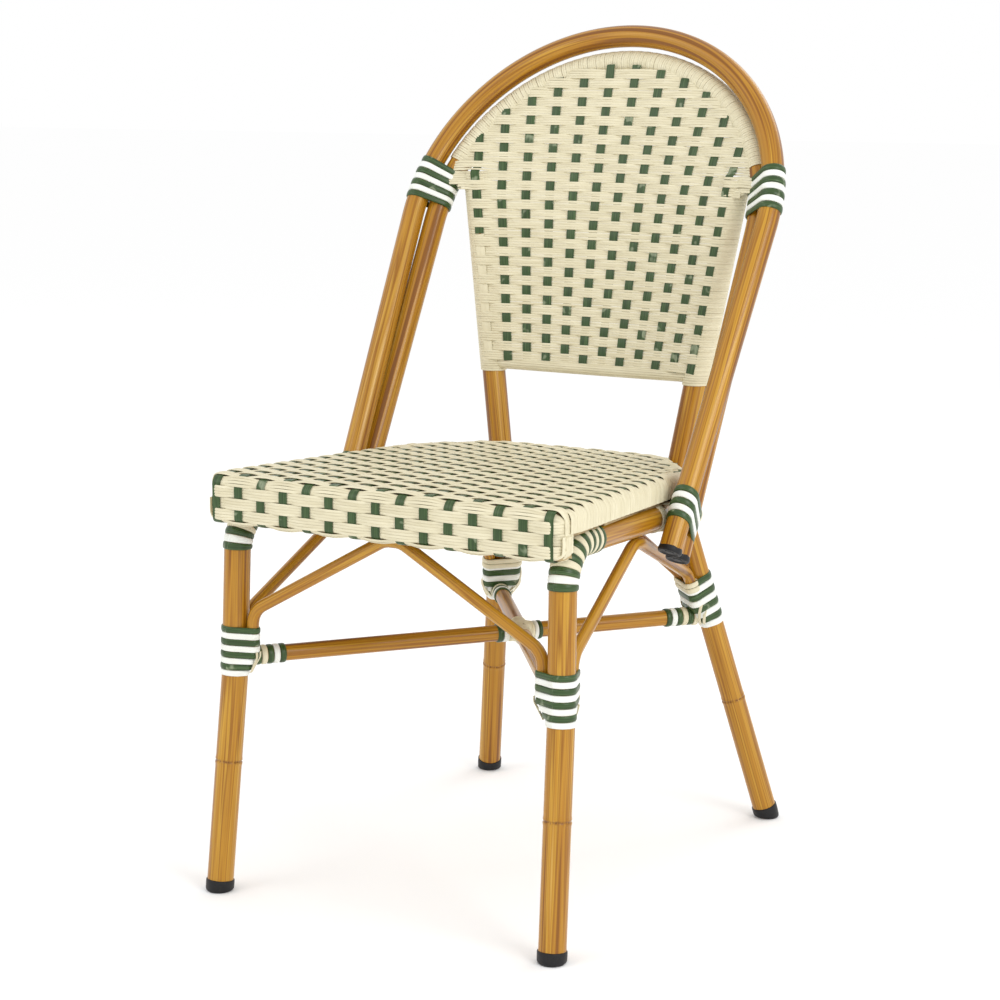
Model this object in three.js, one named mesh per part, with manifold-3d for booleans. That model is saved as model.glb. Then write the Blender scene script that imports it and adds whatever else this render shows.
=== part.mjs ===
// Stacking bistro chair: bent bamboo-look tubes, wound cane bindings, woven seat and back.
// Millimetres, +Z up, the front of the chair faces -Y, +X is to the right seen from the front.
// The sizes below are measured from the line of the front feet on the floor; at the end the whole
// chair is moved so that its origin is the middle of its footprint.
import * as THREE from 'three';
import { mergeVertices } from 'three/addons/utils/BufferGeometryUtils.js';
import Module from 'manifold-3d';

const wasm = await Module();
wasm.setup();

// ---------- driving dimensions ----------
const GAP = 0.3; // clearance between touching pieces
const LEG_R = 14; // front leg and side rail tube
const REAR_R = 13.5; // rear leg and back upright tube
const HOOP_R = 12.5;
const RAIL_R = 9; // front and rear seat rails
const BRACE_R = 6.5;
const STRETCHER_R = 9;
const WRAP = 2.5; // thickness of the wound cane
const BINDING_SLACK = 0.2; // a binding sits this much looser than a plain clearance
const WEAVE = 2.7; // thickness of the woven cane round a tube
const BOTTOM_BAR_R = 5; // bar inside the lower edge of the woven back
const BAR_AHEAD = 4; // how far its ends stand ahead of the uprights' axes
const BAR_STEPS = 8;

// front leg: foot, knee, seat corner; then the side rail: hoop crossing, rear end
const FRONT_FOOT = [203.5, -1.8, 0];
const FRONT_KNEE = [197.5, 23, 231];
const SEAT_CORNER = [194.8, 30, 409.5];
const RAIL_TURN = [175, 262, 399.5];
const KNEE_BEND = 200;
const CORNER_BEND = 42;
const RAIL_BEND = 60;

// rear leg: foot, bend at seat height, top of the back upright
const REAR_FOOT = [190.6, 536.8, 0];
const REAR_BEND = [111.8, 434, 398];
const UPRIGHT_TOP = [168, 465.1, 744];
const REAR_BEND_RADIUS = 60;

// each hoop lies in a plane that leans back: lower end, arch radius, height of the arch centre
const OUTER_HOOP = { foot: [207.6, 234.9, 373.5], radius: 225, centreZ: 706, slope: 0.5588 };
const INNER_HOOP = { foot: [204.6, 259.3, 361], radius: 206, centreZ: 690, slope: 0.529 };

// rails that carry the seat pad, and the braces below them
const FRONT_RAIL = { y: 36, z: 411.5 };
const REAR_RAIL = { y: 432, z: 395 };
const BRACE_END_Z = { front: 265, rear: 271 }; // braces end here, inside their bindings
const BRACE_OFFSET = 21.4; // brace axis to leg axis in a binding
const FRONT_BRACE_BEND_Z = 303;
const FRONT_BRACE_TOP = { x: 10, y: 27.4, z: 395 };
const SIDE_BRACE_BEND_Z = 297;
const SIDE_BRACE_TOP = { x: 180.6, y: 203, z: 381, length: 19, drop: 1 };
const REAR_BRACE_BEND_Z = 300;
const REAR_BRACE_SETBACK = 4; // the rear brace starts this much ahead of and above its leg's axis
const REAR_BRACE_TOP = { x: 10, y: 438, z: 379 };
const BRACE_BEND = 24;
const STRETCHER_Z = 251;
const REAR_END_ROOM = 3.8; // a stretcher stops this far from a rear leg, which slopes past its end

// woven seat pad
const SEAT = { front: -5, rear: 425, top: 451, thickness: 34, edge: 13, slope: -0.029 };
const SEAT_FRONT_HALF = 214;
const SEAT_SIDE_HALF = 186; // half width where the rear corner starts
const SEAT_SIDE_END = 290;
const SEAT_REAR_HALF = 112;
const SEAT_FRONT_ROUNDING = 20; // radius of the front corners in plan
const SEAT_SIDE_SWING = { x: 8, y: 60 }; // how the side leans in before the rear corner
const SEAT_REAR_CORNER = { x: 146, y: 384, tail: 126, room: 20 }; // its middle, and its run out
const PLAN_INSET = 1.5; // the apron stands this far inside the widest outline
const APRON = { depth: 27, bottom: 399 }; // the front of the pad hangs lower

// woven back panel
const PANEL_BOTTOM = 519;
const PANEL_THICKNESS = 5;
const PANEL_CENTRE = { bottom: 441, middle: 477, middleZ: 735 }; // depth of the hollow centre line

// bindings, measured along the tube that they follow
const LOWER_BINDING = { front: [232, 285], rear: [238, 288] }; // heights on the legs
const CORNER_BINDING = { legZ: 367.6, railY: 100 };
const UPPER_BINDING = [712, 757];
const HOOP_FOOT_BINDING = [400, 428];
const END_BINDING = { front: [20, 57], rear: [24, 57] }; // distance from the leg axis along a stretcher
const CROSSING_HALF = 28;
const CROSSING_ARM = 34;

const FOOT_CAP = { wall: 1.6, height: 11, sole: 3 };
const PLUG = { thickness: 4.5, dome: 1.5, lip: 0.4 };

const TUBE_SIDES = 14;
const BRACE_SIDES = 10;
const BINDING_SIDES = 20;

// ---------- materials ----------
const COLOURS = {
  bamboo: { color: 0xb98232, roughness: 0.35, metalness: 0 },
  cream: { color: 0xe4d7b4, roughness: 0.5, metalness: 0 },
  cane: { color: 0x3c6941, roughness: 0.35, metalness: 0 },
  plastic: { color: 0x1b1b1d, roughness: 0.5, metalness: 0 },
};

// ---------- routes ----------
const vec = (p) => new THREE.Vector3(...p);
const mirrored = (p, side) => [p[0] * side, p[1], p[2]];

/** A route through given stations, each a place and a direction; one extrusion step per station. */
class Route extends THREE.Curve {
  constructor(stations) {
    super();
    this.stations = stations;
  }

  blend(t, key) {
    const place = Math.min(Math.max(t, 0), 1) * (this.stations.length - 1);
    const index = Math.min(Math.floor(place), this.stations.length - 2);
    const [from, to] = [this.stations[index][key], this.stations[index + 1][key]];
    return from.clone().lerp(to, place - index);
  }

  getPoint(t) {
    return this.blend(t, 'point');
  }

  getPointAt(u) {
    return this.getPoint(u);
  }

  getTangent(t) {
    return this.blend(t, 'direction').normalize();
  }

  getTangentAt(u) {
    return this.getTangent(u);
  }

  /** The stretch of this route that lies inside a region. */
  between(isInside, samples = 6000) {
    const inside = [];
    for (let i = 0; i <= samples; i += 1) {
      if (isInside(this.getPoint(i / samples))) inside.push(i / samples);
    }
    const [first, last] = [inside[0], inside[inside.length - 1]];
    const own = this.stations.map((_, i) => i / (this.stations.length - 1));
    const kept = own.filter((t) => t > first && t < last);
    const places = [first, ...kept, last];
    return new Route(places.map((t) => ({ point: this.getPoint(t), direction: this.getTangent(t) })));
  }
}

/** A route along straight lines with round bends of the given radii at its inner corners. */
function bentRoute(points, radii, bendSteps = 4) {
  const corners = points.map(vec);
  const stations = [];
  const last = corners.length - 1;
  stations.push({ point: corners[0], direction: corners[1].clone().sub(corners[0]).normalize() });
  for (let i = 1; i < last; i += 1) {
    const before = corners[i].clone().sub(corners[i - 1]).normalize();
    const after = corners[i + 1].clone().sub(corners[i]).normalize();
    const angle = before.angleTo(after);
    const reach = radii[i - 1] * Math.tan(angle / 2);
    const start = corners[i].clone().addScaledVector(before, -reach);
    const inward = after.clone().addScaledVector(before, -after.dot(before)).normalize();
    for (let k = 0; k <= bendSteps; k += 1) {
      const turned = (angle * k) / bendSteps;
      const point = start.clone();
      point.addScaledVector(before, radii[i - 1] * Math.sin(turned));
      point.addScaledVector(inward, radii[i - 1] * (1 - Math.cos(turned)));
      const direction = before.clone().multiplyScalar(Math.cos(turned));
      direction.addScaledVector(inward, Math.sin(turned));
      stations.push({ point, direction });
    }
  }
  const final = corners[last].clone().sub(corners[last - 1]).normalize();
  stations.push({ point: corners[last], direction: final });
  return new Route(stations);
}

const straightRoute = (from, to) => bentRoute([from.toArray(), to.toArray()], []);

/** A hoop: up one side, round the arch, down the other side, all in one leaning plane. */
function hoopRoute({ foot, radius, centreZ, slope }, archSteps = 18) {
  const lean = Math.atan(slope);
  const up = new THREE.Vector3(0, Math.sin(lean), Math.cos(lean));
  const across = new THREE.Vector3(1, 0, 0);
  const origin = new THREE.Vector3(0, foot[1], foot[2]);
  const height = (centreZ - foot[2]) / Math.cos(lean);
  const flare = Math.atan2(height, foot[0]) - Math.acos(radius / Math.hypot(height, foot[0]));
  const place = (x, v) => origin.clone().addScaledVector(across, x).addScaledVector(up, v);
  const rising = place(Math.sin(flare), Math.cos(flare)).sub(origin);
  const falling = place(Math.sin(flare), -Math.cos(flare)).sub(origin);
  const stations = [{ point: place(foot[0], 0), direction: rising }];
  for (let k = 0; k <= archSteps; k += 1) {
    const angle = -flare + ((Math.PI + 2 * flare) * k) / archSteps;
    const point = place(radius * Math.cos(angle), height + radius * Math.sin(angle));
    stations.push({ point, direction: place(-Math.sin(angle), Math.cos(angle)).sub(origin) });
  }
  stations.push({ point: place(-foot[0], 0), direction: falling });
  return new Route(stations);
}

/** Where the straight line from one place to another stands at height z. */
function atHeight(from, to, z) {
  const share = (z - from[2]) / (to[2] - from[2]);
  return from.map((value, i) => value + (to[i] - value) * share);
}

function frontLegAt(z) {
  if (z < FRONT_KNEE[2]) return atHeight(FRONT_FOOT, FRONT_KNEE, z);
  return atHeight(FRONT_KNEE, SEAT_CORNER, z);
}

const rearLegAt = (z) => atHeight(REAR_FOOT, REAR_BEND, z);
const offset = (p, dx, dy, dz = 0) => [p[0] + dx, p[1] + dy, p[2] + dz];

// ---------- solids ----------
function circle(radius) {
  return new THREE.Shape().absarc(0, 0, radius, 0, 2 * Math.PI, false);
}

/** A round bar along a route. */
function tube(route, radius, sides = TUBE_SIDES) {
  const settings = { steps: route.stations.length - 1, extrudePath: route, curveSegments: sides / 2 };
  return new THREE.ExtrudeGeometry(circle(radius), { ...settings, bevelEnabled: false });
}

/** The solid of a closed geometry. */
function solid(geometry) {
  const bare = geometry.clone();
  bare.deleteAttribute('normal');
  bare.deleteAttribute('uv');
  const merged = mergeVertices(bare, 1e-3);
  const vertProperties = new Float32Array(merged.attributes.position.array);
  const triVerts = new Uint32Array(merged.index.array);
  return new wasm.Manifold(new wasm.Mesh({ numProp: 3, vertProperties, triVerts }));
}

/** The geometry of a solid. */
function geometryOf(body) {
  const mesh = body.getMesh();
  const geometry = new THREE.BufferGeometry();
  geometry.setAttribute('position', new THREE.BufferAttribute(new Float32Array(mesh.vertProperties), 3));
  geometry.setIndex(new THREE.BufferAttribute(new Uint32Array(mesh.triVerts), 1));
  geometry.computeVertexNormals();
  return geometry;
}

const without = (body, cutters) => cutters.reduce((rest, cutter) => rest.subtract(cutter), body);
const joined = (bodies) => bodies.reduce((all, body) => all.add(body));

/** The points of a band pulled tight round circles, given as [x, y, radius]. */
function tightBand(circles, extra, sides = BINDING_SIDES) {
  const outline = [];
  for (let k = 0; k < sides; k += 1) {
    const angle = (2 * Math.PI * k) / sides;
    const [cos, sin] = [Math.cos(angle), Math.sin(angle)];
    const reach = ([x, y, r]) => x * cos + y * sin + r;
    const [x, y, r] = circles.reduce((best, one) => (reach(one) > reach(best) ? one : best));
    outline.push(new THREE.Vector2(x + (r + extra) * cos, y + (r + extra) * sin));
  }
  return outline;
}

/** Where a route crosses the plane through a point, square to a direction. */
function crossing(route, point, direction) {
  const side = (station) => station.point.clone().sub(point).dot(direction);
  const hits = [];
  for (let i = 0; i + 1 < route.stations.length; i += 1) {
    const [a, b] = [side(route.stations[i]), side(route.stations[i + 1])];
    if (a * b <= 0 && a !== b) {
      const hit = route.stations[i].point.clone().lerp(route.stations[i + 1].point, a / (a - b));
      hits.push(hit);
    }
  }
  return hits.reduce((near, hit) => (hit.distanceTo(point) < near.distanceTo(point) ? hit : near));
}

/** A sleeve wound along a stretch of one tube and round its neighbours. */
function binding(stretch, radius, neighbours, hollow = true) {
  const frames = stretch.computeFrenetFrames(stretch.stations.length - 1, false);
  const middle = stretch.getPoint(0.5);
  const direction = stretch.getTangent(0.5);
  const circles = [[0, 0, radius]];
  for (const { route, radius: own } of neighbours) {
    const away = crossing(route, middle, direction).sub(middle);
    circles.push([away.dot(frames.normals[0]), away.dot(frames.binormals[0]), own]);
  }
  const section = new THREE.Shape(tightBand(circles, WRAP));
  if (hollow) section.holes.push(new THREE.Path(tightBand(circles, GAP + BINDING_SLACK)));
  const settings = { steps: stretch.stations.length - 1, extrudePath: stretch, bevelEnabled: false };
  return solid(new THREE.ExtrudeGeometry(section, settings));
}

// ---------- the tubes of the frame ----------
const SIDES = { right: 1, left: -1 };

function frontLegRoute(side) {
  const turn = vec(RAIL_TURN);
  const legAxis = vec(rearLegAt(RAIL_TURN[2] - 3));
  const room = (REAR_R + 1) / turn.distanceTo(legAxis);
  const railEnd = legAxis.clone().lerp(turn, room).toArray();
  const points = [FRONT_FOOT, FRONT_KNEE, SEAT_CORNER, RAIL_TURN, railEnd].map((p) => mirrored(p, side));
  return bentRoute(points, [KNEE_BEND, CORNER_BEND, RAIL_BEND]);
}

function rearLegRoute(side) {
  return bentRoute([REAR_FOOT, REAR_BEND, UPRIGHT_TOP].map((p) => mirrored(p, side)), [REAR_BEND_RADIUS]);
}

function crossRailRoute({ y, z }, halfLength) {
  return straightRoute(new THREE.Vector3(-halfLength, y, z), new THREE.Vector3(halfLength, y, z));
}

/** Half of a brace that runs up beside each leg and meets its mirror image in the middle. */
function archedBrace(lower, bend, top) {
  const half = [lower, bend, [top.x, top.y, top.z]];
  const points = [...half, ...half.map((p) => mirrored(p, -1)).reverse()];
  return bentRoute(points, [BRACE_BEND, BRACE_BEND, BRACE_BEND, BRACE_BEND], 3);
}

function frontBraceRoute() {
  const lower = offset(frontLegAt(BRACE_END_Z.front), -BRACE_OFFSET, 1);
  const bend = offset(frontLegAt(FRONT_BRACE_BEND_Z), -BRACE_OFFSET, 1);
  return archedBrace(lower, bend, FRONT_BRACE_TOP);
}

function rearBraceRoute() {
  const start = rearLegAt(BRACE_END_Z.rear + REAR_BRACE_SETBACK);
  const lower = offset(start, -BRACE_OFFSET, 0, -REAR_BRACE_SETBACK);
  const bend = offset(rearLegAt(REAR_BRACE_BEND_Z), -BRACE_OFFSET, 0, -REAR_BRACE_SETBACK);
  return archedBrace(lower, bend, REAR_BRACE_TOP);
}

function sideBraceRoute(side) {
  const { x, y, z, length, drop } = SIDE_BRACE_TOP;
  const points = [
    offset(frontLegAt(BRACE_END_Z.front), 0, BRACE_OFFSET),
    offset(frontLegAt(SIDE_BRACE_BEND_Z), 0, BRACE_OFFSET),
    [x, y, z],
    [x - 2, y + length, z - drop],
    offset(rearLegAt(REAR_BRACE_BEND_Z + 3), 0, -BRACE_OFFSET - 0.8),
    offset(rearLegAt(BRACE_END_Z.rear), 0, -BRACE_OFFSET - 0.8),
  ];
  const onSide = points.map((p) => mirrored(p, side));
  return bentRoute(onSide, [BRACE_BEND, BRACE_BEND, BRACE_BEND, BRACE_BEND], 3);
}

/** The line of a stretcher from a front leg axis to the rear leg axis of the other side. */
function stretcherLine(side) {
  const from = vec(mirrored(frontLegAt(STRETCHER_Z), side));
  const to = vec(mirrored(rearLegAt(STRETCHER_Z), -side));
  return { from, to, along: to.clone().sub(from).normalize(), length: from.distanceTo(to) };
}

const pointOn = ({ from, along }, distance) => from.clone().addScaledVector(along, distance);
const stretchOf = (line, start, end) => straightRoute(pointOn(line, start), pointOn(line, end));

const legs = Object.entries(SIDES).map(([name, side]) => ({
  name,
  side,
  front: frontLegRoute(side),
  rear: rearLegRoute(side),
  sideBrace: sideBraceRoute(side),
}));
const outerHoop = hoopRoute(OUTER_HOOP);
const innerHoop = hoopRoute(INNER_HOOP);
const frontRail = crossRailRoute(FRONT_RAIL, SEAT_CORNER[0] - LEG_R - WRAP - 1);
const rearRail = crossRailRoute(REAR_RAIL, REAR_BEND[0] - REAR_R - 0.5);
const frontBrace = frontBraceRoute();
const rearBrace = rearBraceRoute();
const longLine = stretcherLine(-1);
const shortLine = stretcherLine(1);
const crossingDistance = shortLine.from.x / -shortLine.along.x;
const longStretcher = stretchOf(longLine, LEG_R + 0.6, longLine.length - REAR_R - REAR_END_ROOM);
const frontHalf = stretchOf(shortLine, LEG_R + 0.6, crossingDistance);
const rearHalf = stretchOf(shortLine, crossingDistance, shortLine.length - REAR_R - REAR_END_ROOM);

const meshes = new THREE.Group();

function addNode(name, geometry, look) {
  const mesh = new THREE.Mesh(geometry, new THREE.MeshStandardMaterial(COLOURS[look]));
  mesh.name = name;
  meshes.add(mesh);
  return mesh;
}

const room = (route, radius, sides = TUBE_SIDES) => solid(tube(route, radius + GAP, sides));

function addFrame() {
  for (const { name, side, front, rear, sideBrace } of legs) {
    addNode(`front_leg_and_side_rail_${name}`, onFloor(tube(front, LEG_R)), 'bamboo');
    addNode(`rear_leg_and_upright_${name}`, onFloor(tube(rear, REAR_R)), 'bamboo');
    addNode(`side_brace_${name}`, tube(sideBrace, BRACE_R, BRACE_SIDES), 'bamboo');
  }
  addNode('outer_hoop', tube(outerHoop, HOOP_R), 'bamboo');
  addNode('inner_hoop', tube(innerHoop, HOOP_R), 'bamboo');
  addNode('front_seat_rail', tube(frontRail, RAIL_R, BRACE_SIDES), 'bamboo');
  addNode('rear_seat_rail', tube(rearRail, RAIL_R, BRACE_SIDES), 'bamboo');
  addNode('front_brace', tube(frontBrace, BRACE_R, BRACE_SIDES), 'bamboo');
  addNode('rear_brace', tube(rearBrace, BRACE_R, BRACE_SIDES), 'bamboo');
  addNode('long_stretcher', tube(longStretcher, STRETCHER_R), 'bamboo');
  addNode('front_half_stretcher', halfStretcher(frontHalf), 'bamboo');
  addNode('rear_half_stretcher', halfStretcher(rearHalf), 'bamboo');
}

/** Half a stretcher, with its inner end coped to fit the long one. */
function halfStretcher(route) {
  return geometryOf(solid(tube(route, STRETCHER_R)).subtract(room(longStretcher, STRETCHER_R)));
}

/** A leg cut off level above the sole of its foot cap. */
function onFloor(geometry) {
  const floor = new THREE.BoxGeometry(900, 1400, 100);
  floor.translate(0, 270, FOOT_CAP.sole + GAP - 50);
  return geometryOf(solid(geometry).subtract(solid(floor)));
}

/** A black cup on a foot, standing flat on the floor whatever the slope of its leg. */
function addFootCap(name, foot, above, legRadius) {
  const along = above.clone().sub(foot).normalize();
  const outer = legRadius + GAP + FOOT_CAP.wall;
  const cup = solid(tube(stretchOf({ from: foot, along }, -10, FOOT_CAP.height), outer));
  const bore = solid(tube(stretchOf({ from: foot, along }, -10, FOOT_CAP.height + 10), legRadius + GAP));
  const below = new THREE.BoxGeometry(100, 100, 60);
  below.translate(foot.x, foot.y, -30);
  const sole = new THREE.BoxGeometry(100, 100, 60);
  sole.translate(foot.x, foot.y, FOOT_CAP.sole - 30);
  const cavity = bore.subtract(solid(sole));
  addNode(name, geometryOf(cup.subtract(solid(below)).subtract(cavity)), 'plastic');
}

/** A domed plug on the open end of a hoop. */
function addPlug(name, end) {
  const radius = HOOP_R + PLUG.lip;
  const outline = new THREE.Path().moveTo(0, GAP);
  outline.lineTo(radius, GAP);
  outline.lineTo(radius, PLUG.thickness - PLUG.dome);
  outline.quadraticCurveTo(radius * 0.9, PLUG.thickness, 0, PLUG.thickness);
  const geometry = new THREE.LatheGeometry(outline.getPoints(4), TUBE_SIDES);
  const plug = addNode(name, geometry, 'plastic');
  plug.position.copy(end.point);
  const outward = end.direction.clone().normalize();
  plug.quaternion.setFromUnitVectors(new THREE.Vector3(0, 1, 0), outward);
}

function addCapsAndPlugs() {
  for (const { name, side, front, rear } of legs) {
    const [frontFoot, rearFoot] = [front.stations[0].point, rear.stations[0].point];
    addFootCap(`front_foot_cap_${name}`, frontFoot, front.stations[1].point, LEG_R);
    addFootCap(`rear_foot_cap_${name}`, rearFoot, rear.stations[1].point, REAR_R);
    for (const [hoopName, hoop] of [['outer', outerHoop], ['inner', innerHoop]]) {
      const station = hoop.stations[side > 0 ? 0 : hoop.stations.length - 1];
      const outward = station.direction.clone().multiplyScalar(-side);
      addPlug(`${hoopName}_hoop_plug_${name}`, { point: station.point, direction: outward });
    }
  }
}

// ---------- bindings ----------
function heightBand([low, high], side = 0) {
  return (p) => p.z >= low && p.z <= high && p.x * side >= 0;
}

function cornerBand(extra) {
  return (p) => p.z >= CORNER_BINDING.legZ - extra && p.y <= CORNER_BINDING.railY + extra;
}

function addBindings() {
  const brace = (route) => ({ route, radius: BRACE_R });
  const lines = { right: [shortLine, longLine], left: [longLine, shortLine] };
  for (const { name, side, front, rear, sideBrace } of legs) {
    const [frontLine, rearLine] = lines[name];
    const frontEnd = stretchOf(frontLine, 5, 80);
    const rearEnd = stretchOf(rearLine, rearLine.length - 80, rearLine.length - 5);
    const stretcherRooms = [room(frontEnd, STRETCHER_R), room(rearEnd, STRETCHER_R)];
    const frontBraces = [brace(frontBrace), brace(sideBrace)];
    const rearBraces = [brace(rearBrace), brace(sideBrace)];
    addLegBindings('front', name, front, LEG_R, frontBraces, stretcherRooms[0]);
    addLegBindings('rear', name, rear, REAR_R, rearBraces, stretcherRooms[1]);

    const atCorner = front.between(cornerBand(0));
    addNode(`front_corner_binding_${name}`, geometryOf(binding(atCorner, LEG_R, [])), 'cane');

    const hoops = [room(outerHoop, HOOP_R), room(innerHoop, HOOP_R)];
    const inner = [{ route: halfOf(innerHoop, side), radius: HOOP_R }];
    for (const [place, band] of [['upper', UPPER_BINDING], ['hoop_foot', HOOP_FOOT_BINDING]]) {
      const stretch = halfOf(outerHoop, side).between(heightBand(band, side));
      const sleeve = without(binding(stretch, HOOP_R, inner), hoops);
      addNode(`${place}_binding_${name}`, geometryOf(sleeve), 'cane');
    }
    const frontStretch = stretchOf(frontLine, ...END_BINDING.front);
    addEndBinding(`front_stretcher_binding_${name}`, frontStretch, stretcherRooms[0]);
    const [rearNear, rearFar] = END_BINDING.rear.map((distance) => rearLine.length - distance);
    const rearStretch = stretchOf(rearLine, rearFar, rearNear);
    addEndBinding(`rear_stretcher_binding_${name}`, rearStretch, stretcherRooms[1]);
  }
}

/** Two windings on a leg: one round the leg and both brace ends, one below it round the leg alone. */
function addLegBindings(place, name, leg, radius, braces, stretcherRoom) {
  const [low, high] = LOWER_BINDING[place];
  const upper = leg.between(heightBand([BRACE_END_Z[place] - 1, high]));
  const lower = leg.between(heightBand([low, BRACE_END_Z[place] - 1.6]));
  addNode(`${place}_brace_binding_${name}`, geometryOf(binding(upper, radius, braces)), 'cane');
  const cut = binding(lower, radius, []).subtract(stretcherRoom);
  addNode(`${place}_stretcher_tie_${name}`, geometryOf(cut), 'cane');
}

/** One side of a hoop. */
function halfOf(hoop, side) {
  const stations = hoop.stations.filter((station) => station.point.x * side > 1);
  return new Route(stations);
}

function addEndBinding(name, stretch, stretcherRoom) {
  addNode(name, geometryOf(binding(stretch, STRETCHER_R, []).subtract(stretcherRoom)), 'cane');
}

function addCrossingBinding() {
  const middle = crossingDistance;
  const longStretch = stretchOf(longLine, middle - CROSSING_HALF, middle + CROSSING_HALF);
  const shortStretch = stretchOf(shortLine, middle - CROSSING_ARM, middle + CROSSING_ARM);
  const along = binding(longStretch, STRETCHER_R, [], false);
  const over = binding(shortStretch, STRETCHER_R, [], false);
  const rooms = [longStretcher, frontHalf, rearHalf].map((route) => room(route, STRETCHER_R));
  addNode('crossing_binding', geometryOf(without(along.add(over), rooms)), 'cream');
}

// ---------- woven seat and back ----------
/** The plan of the pad: wide front, slow taper, long rear corners. */
function seatOutline(inset) {
  const plan = new THREE.Shape();
  const front = SEAT.front + inset;
  const rear = SEAT.rear - inset;
  const half = SEAT_FRONT_HALF - inset;
  const straight = half - SEAT_FRONT_ROUNDING;
  const side = SEAT_SIDE_HALF - inset;
  const swing = { x: side - SEAT_SIDE_SWING.x, y: SEAT_SIDE_END + SEAT_SIDE_SWING.y };
  const corner = { x: SEAT_REAR_CORNER.x - inset, y: SEAT_REAR_CORNER.y - inset };
  const tail = SEAT_REAR_CORNER.tail - inset;
  const back = SEAT_REAR_HALF - SEAT_REAR_CORNER.room;
  plan.moveTo(-straight, front);
  plan.lineTo(straight, front);
  plan.quadraticCurveTo(half, front, half - 1, front + SEAT_FRONT_ROUNDING);
  plan.lineTo(side, SEAT_SIDE_END);
  plan.quadraticCurveTo(swing.x, swing.y, corner.x, corner.y);
  plan.quadraticCurveTo(tail, rear, back, rear);
  plan.lineTo(-back, rear);
  plan.quadraticCurveTo(-tail, rear, -corner.x, corner.y);
  plan.quadraticCurveTo(-swing.x, swing.y, -side, SEAT_SIDE_END);
  plan.lineTo(-half + 1, front + SEAT_FRONT_ROUNDING);
  plan.quadraticCurveTo(-half, front, -straight, front);
  return plan;
}

function seatPad() {
  const bevel = { bevelThickness: SEAT.edge, bevelSize: SEAT.edge, bevelSegments: 3 };
  const settings = { depth: SEAT.thickness - 2 * SEAT.edge, curveSegments: 4, ...bevel };
  const slab = new THREE.ExtrudeGeometry(seatOutline(SEAT.edge), settings);
  slab.translate(0, 0, SEAT.top - SEAT.thickness + SEAT.edge);
  const slope = new THREE.Matrix4().set(1, 0, 0, 0, 0, 1, 0, 0, 0, SEAT.slope, 1, 0, 0, 0, 0, 1);
  return solid(slab.applyMatrix4(slope)).add(apron());
}

/** The front of the pad, which hangs down in front of the legs. */
function apron() {
  const half = SEAT_FRONT_HALF - PLAN_INSET;
  const [back, top] = [SEAT.front + APRON.depth, SEAT.top - SEAT.thickness + SEAT.edge];
  const profile = new THREE.Shape();
  profile.moveTo(SEAT.front + 0.5, top);
  profile.lineTo(SEAT.front + 0.5, APRON.bottom + 5);
  profile.quadraticCurveTo(SEAT.front + 0.5, APRON.bottom, SEAT.front + 6, APRON.bottom);
  profile.lineTo(back, APRON.bottom + 2);
  profile.lineTo(back, top);
  const across = { depth: 2 * half, curveSegments: 3, bevelEnabled: false };
  const block = new THREE.ExtrudeGeometry(profile, across);
  block.applyMatrix4(new THREE.Matrix4().set(0, 0, 1, -half, 1, 0, 0, 0, 0, 1, 0, 0, 0, 0, 0, 1));
  const settings = { depth: 90, curveSegments: 4, bevelEnabled: false };
  const plan = new THREE.ExtrudeGeometry(seatOutline(PLAN_INSET), settings);
  plan.translate(0, 0, APRON.bottom - 20);
  return solid(block).intersect(solid(plan));
}

function addSeat() {
  const cutters = [room(frontRail, RAIL_R, BRACE_SIDES), room(rearRail, RAIL_R, BRACE_SIDES)];
  cutters.push(room(frontBrace, BRACE_R, BRACE_SIDES));
  for (const { front, rear } of legs) {
    const atCorner = binding(front.between(cornerBand(1)), LEG_R + GAP, [], false);
    cutters.push(room(front, LEG_R), atCorner, room(rear, REAR_R));
  }
  addNode('woven_seat', geometryOf(without(seatPad(), cutters)), 'cream');
}

const uprightAt = (z) => atHeight(REAR_BEND, UPRIGHT_TOP, z);

/** Half the width of the panel between the tubes at its edge, and how deep those tubes lie. */
function panelEdge(z) {
  const start = UPRIGHT_TOP[2] - 6;
  if (z <= start) {
    const [x, y] = uprightAt(z);
    return { x, y: y - REAR_R - WEAVE / 2 };
  }
  const lean = Math.atan(INNER_HOOP.slope);
  const above = (z - INNER_HOOP.centreZ) / Math.cos(lean);
  const x = Math.sqrt(Math.max(INNER_HOOP.radius ** 2 - above ** 2, 0));
  const depth = INNER_HOOP.foot[1] + INNER_HOOP.slope * (z - INNER_HOOP.foot[2]);
  return { x, y: depth - (HOOP_R + WEAVE / 2) / Math.cos(lean) };
}

/** Depth of the middle of the panel: from the lower edge, through the hollow, to the top of the arch. */
function panelCentre(z, topZ) {
  const { bottom, middle, middleZ } = PANEL_CENTRE;
  if (z <= middleZ) return bottom + ((middle - bottom) * (z - PANEL_BOTTOM)) / (middleZ - PANEL_BOTTOM);
  const top = panelEdge(topZ).y;
  return middle + ((top - middle) * (z - middleZ)) / (topZ - middleZ);
}

/** The hollow sheet between the rolled edges. */
function panelSheet() {
  const topZ = INNER_HOOP.centreZ + INNER_HOOP.radius * Math.cos(Math.atan(INNER_HOOP.slope));
  const sheet = new THREE.BoxGeometry(2, PANEL_THICKNESS, 1, 8, 1, 12);
  const place = sheet.attributes.position;
  for (let i = 0; i < place.count; i += 1) {
    const share = Math.sin(((place.getZ(i) + 0.5) * Math.PI) / 2);
    const z = PANEL_BOTTOM + (topZ - 3 - PANEL_BOTTOM) * share;
    const across = place.getX(i);
    const edge = panelEdge(z);
    const centre = panelCentre(z, topZ);
    const y = centre + (edge.y - centre) * across ** 2 + place.getY(i);
    place.setXYZ(i, across * edge.x, y, z);
  }
  return solid(sheet);
}

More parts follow.
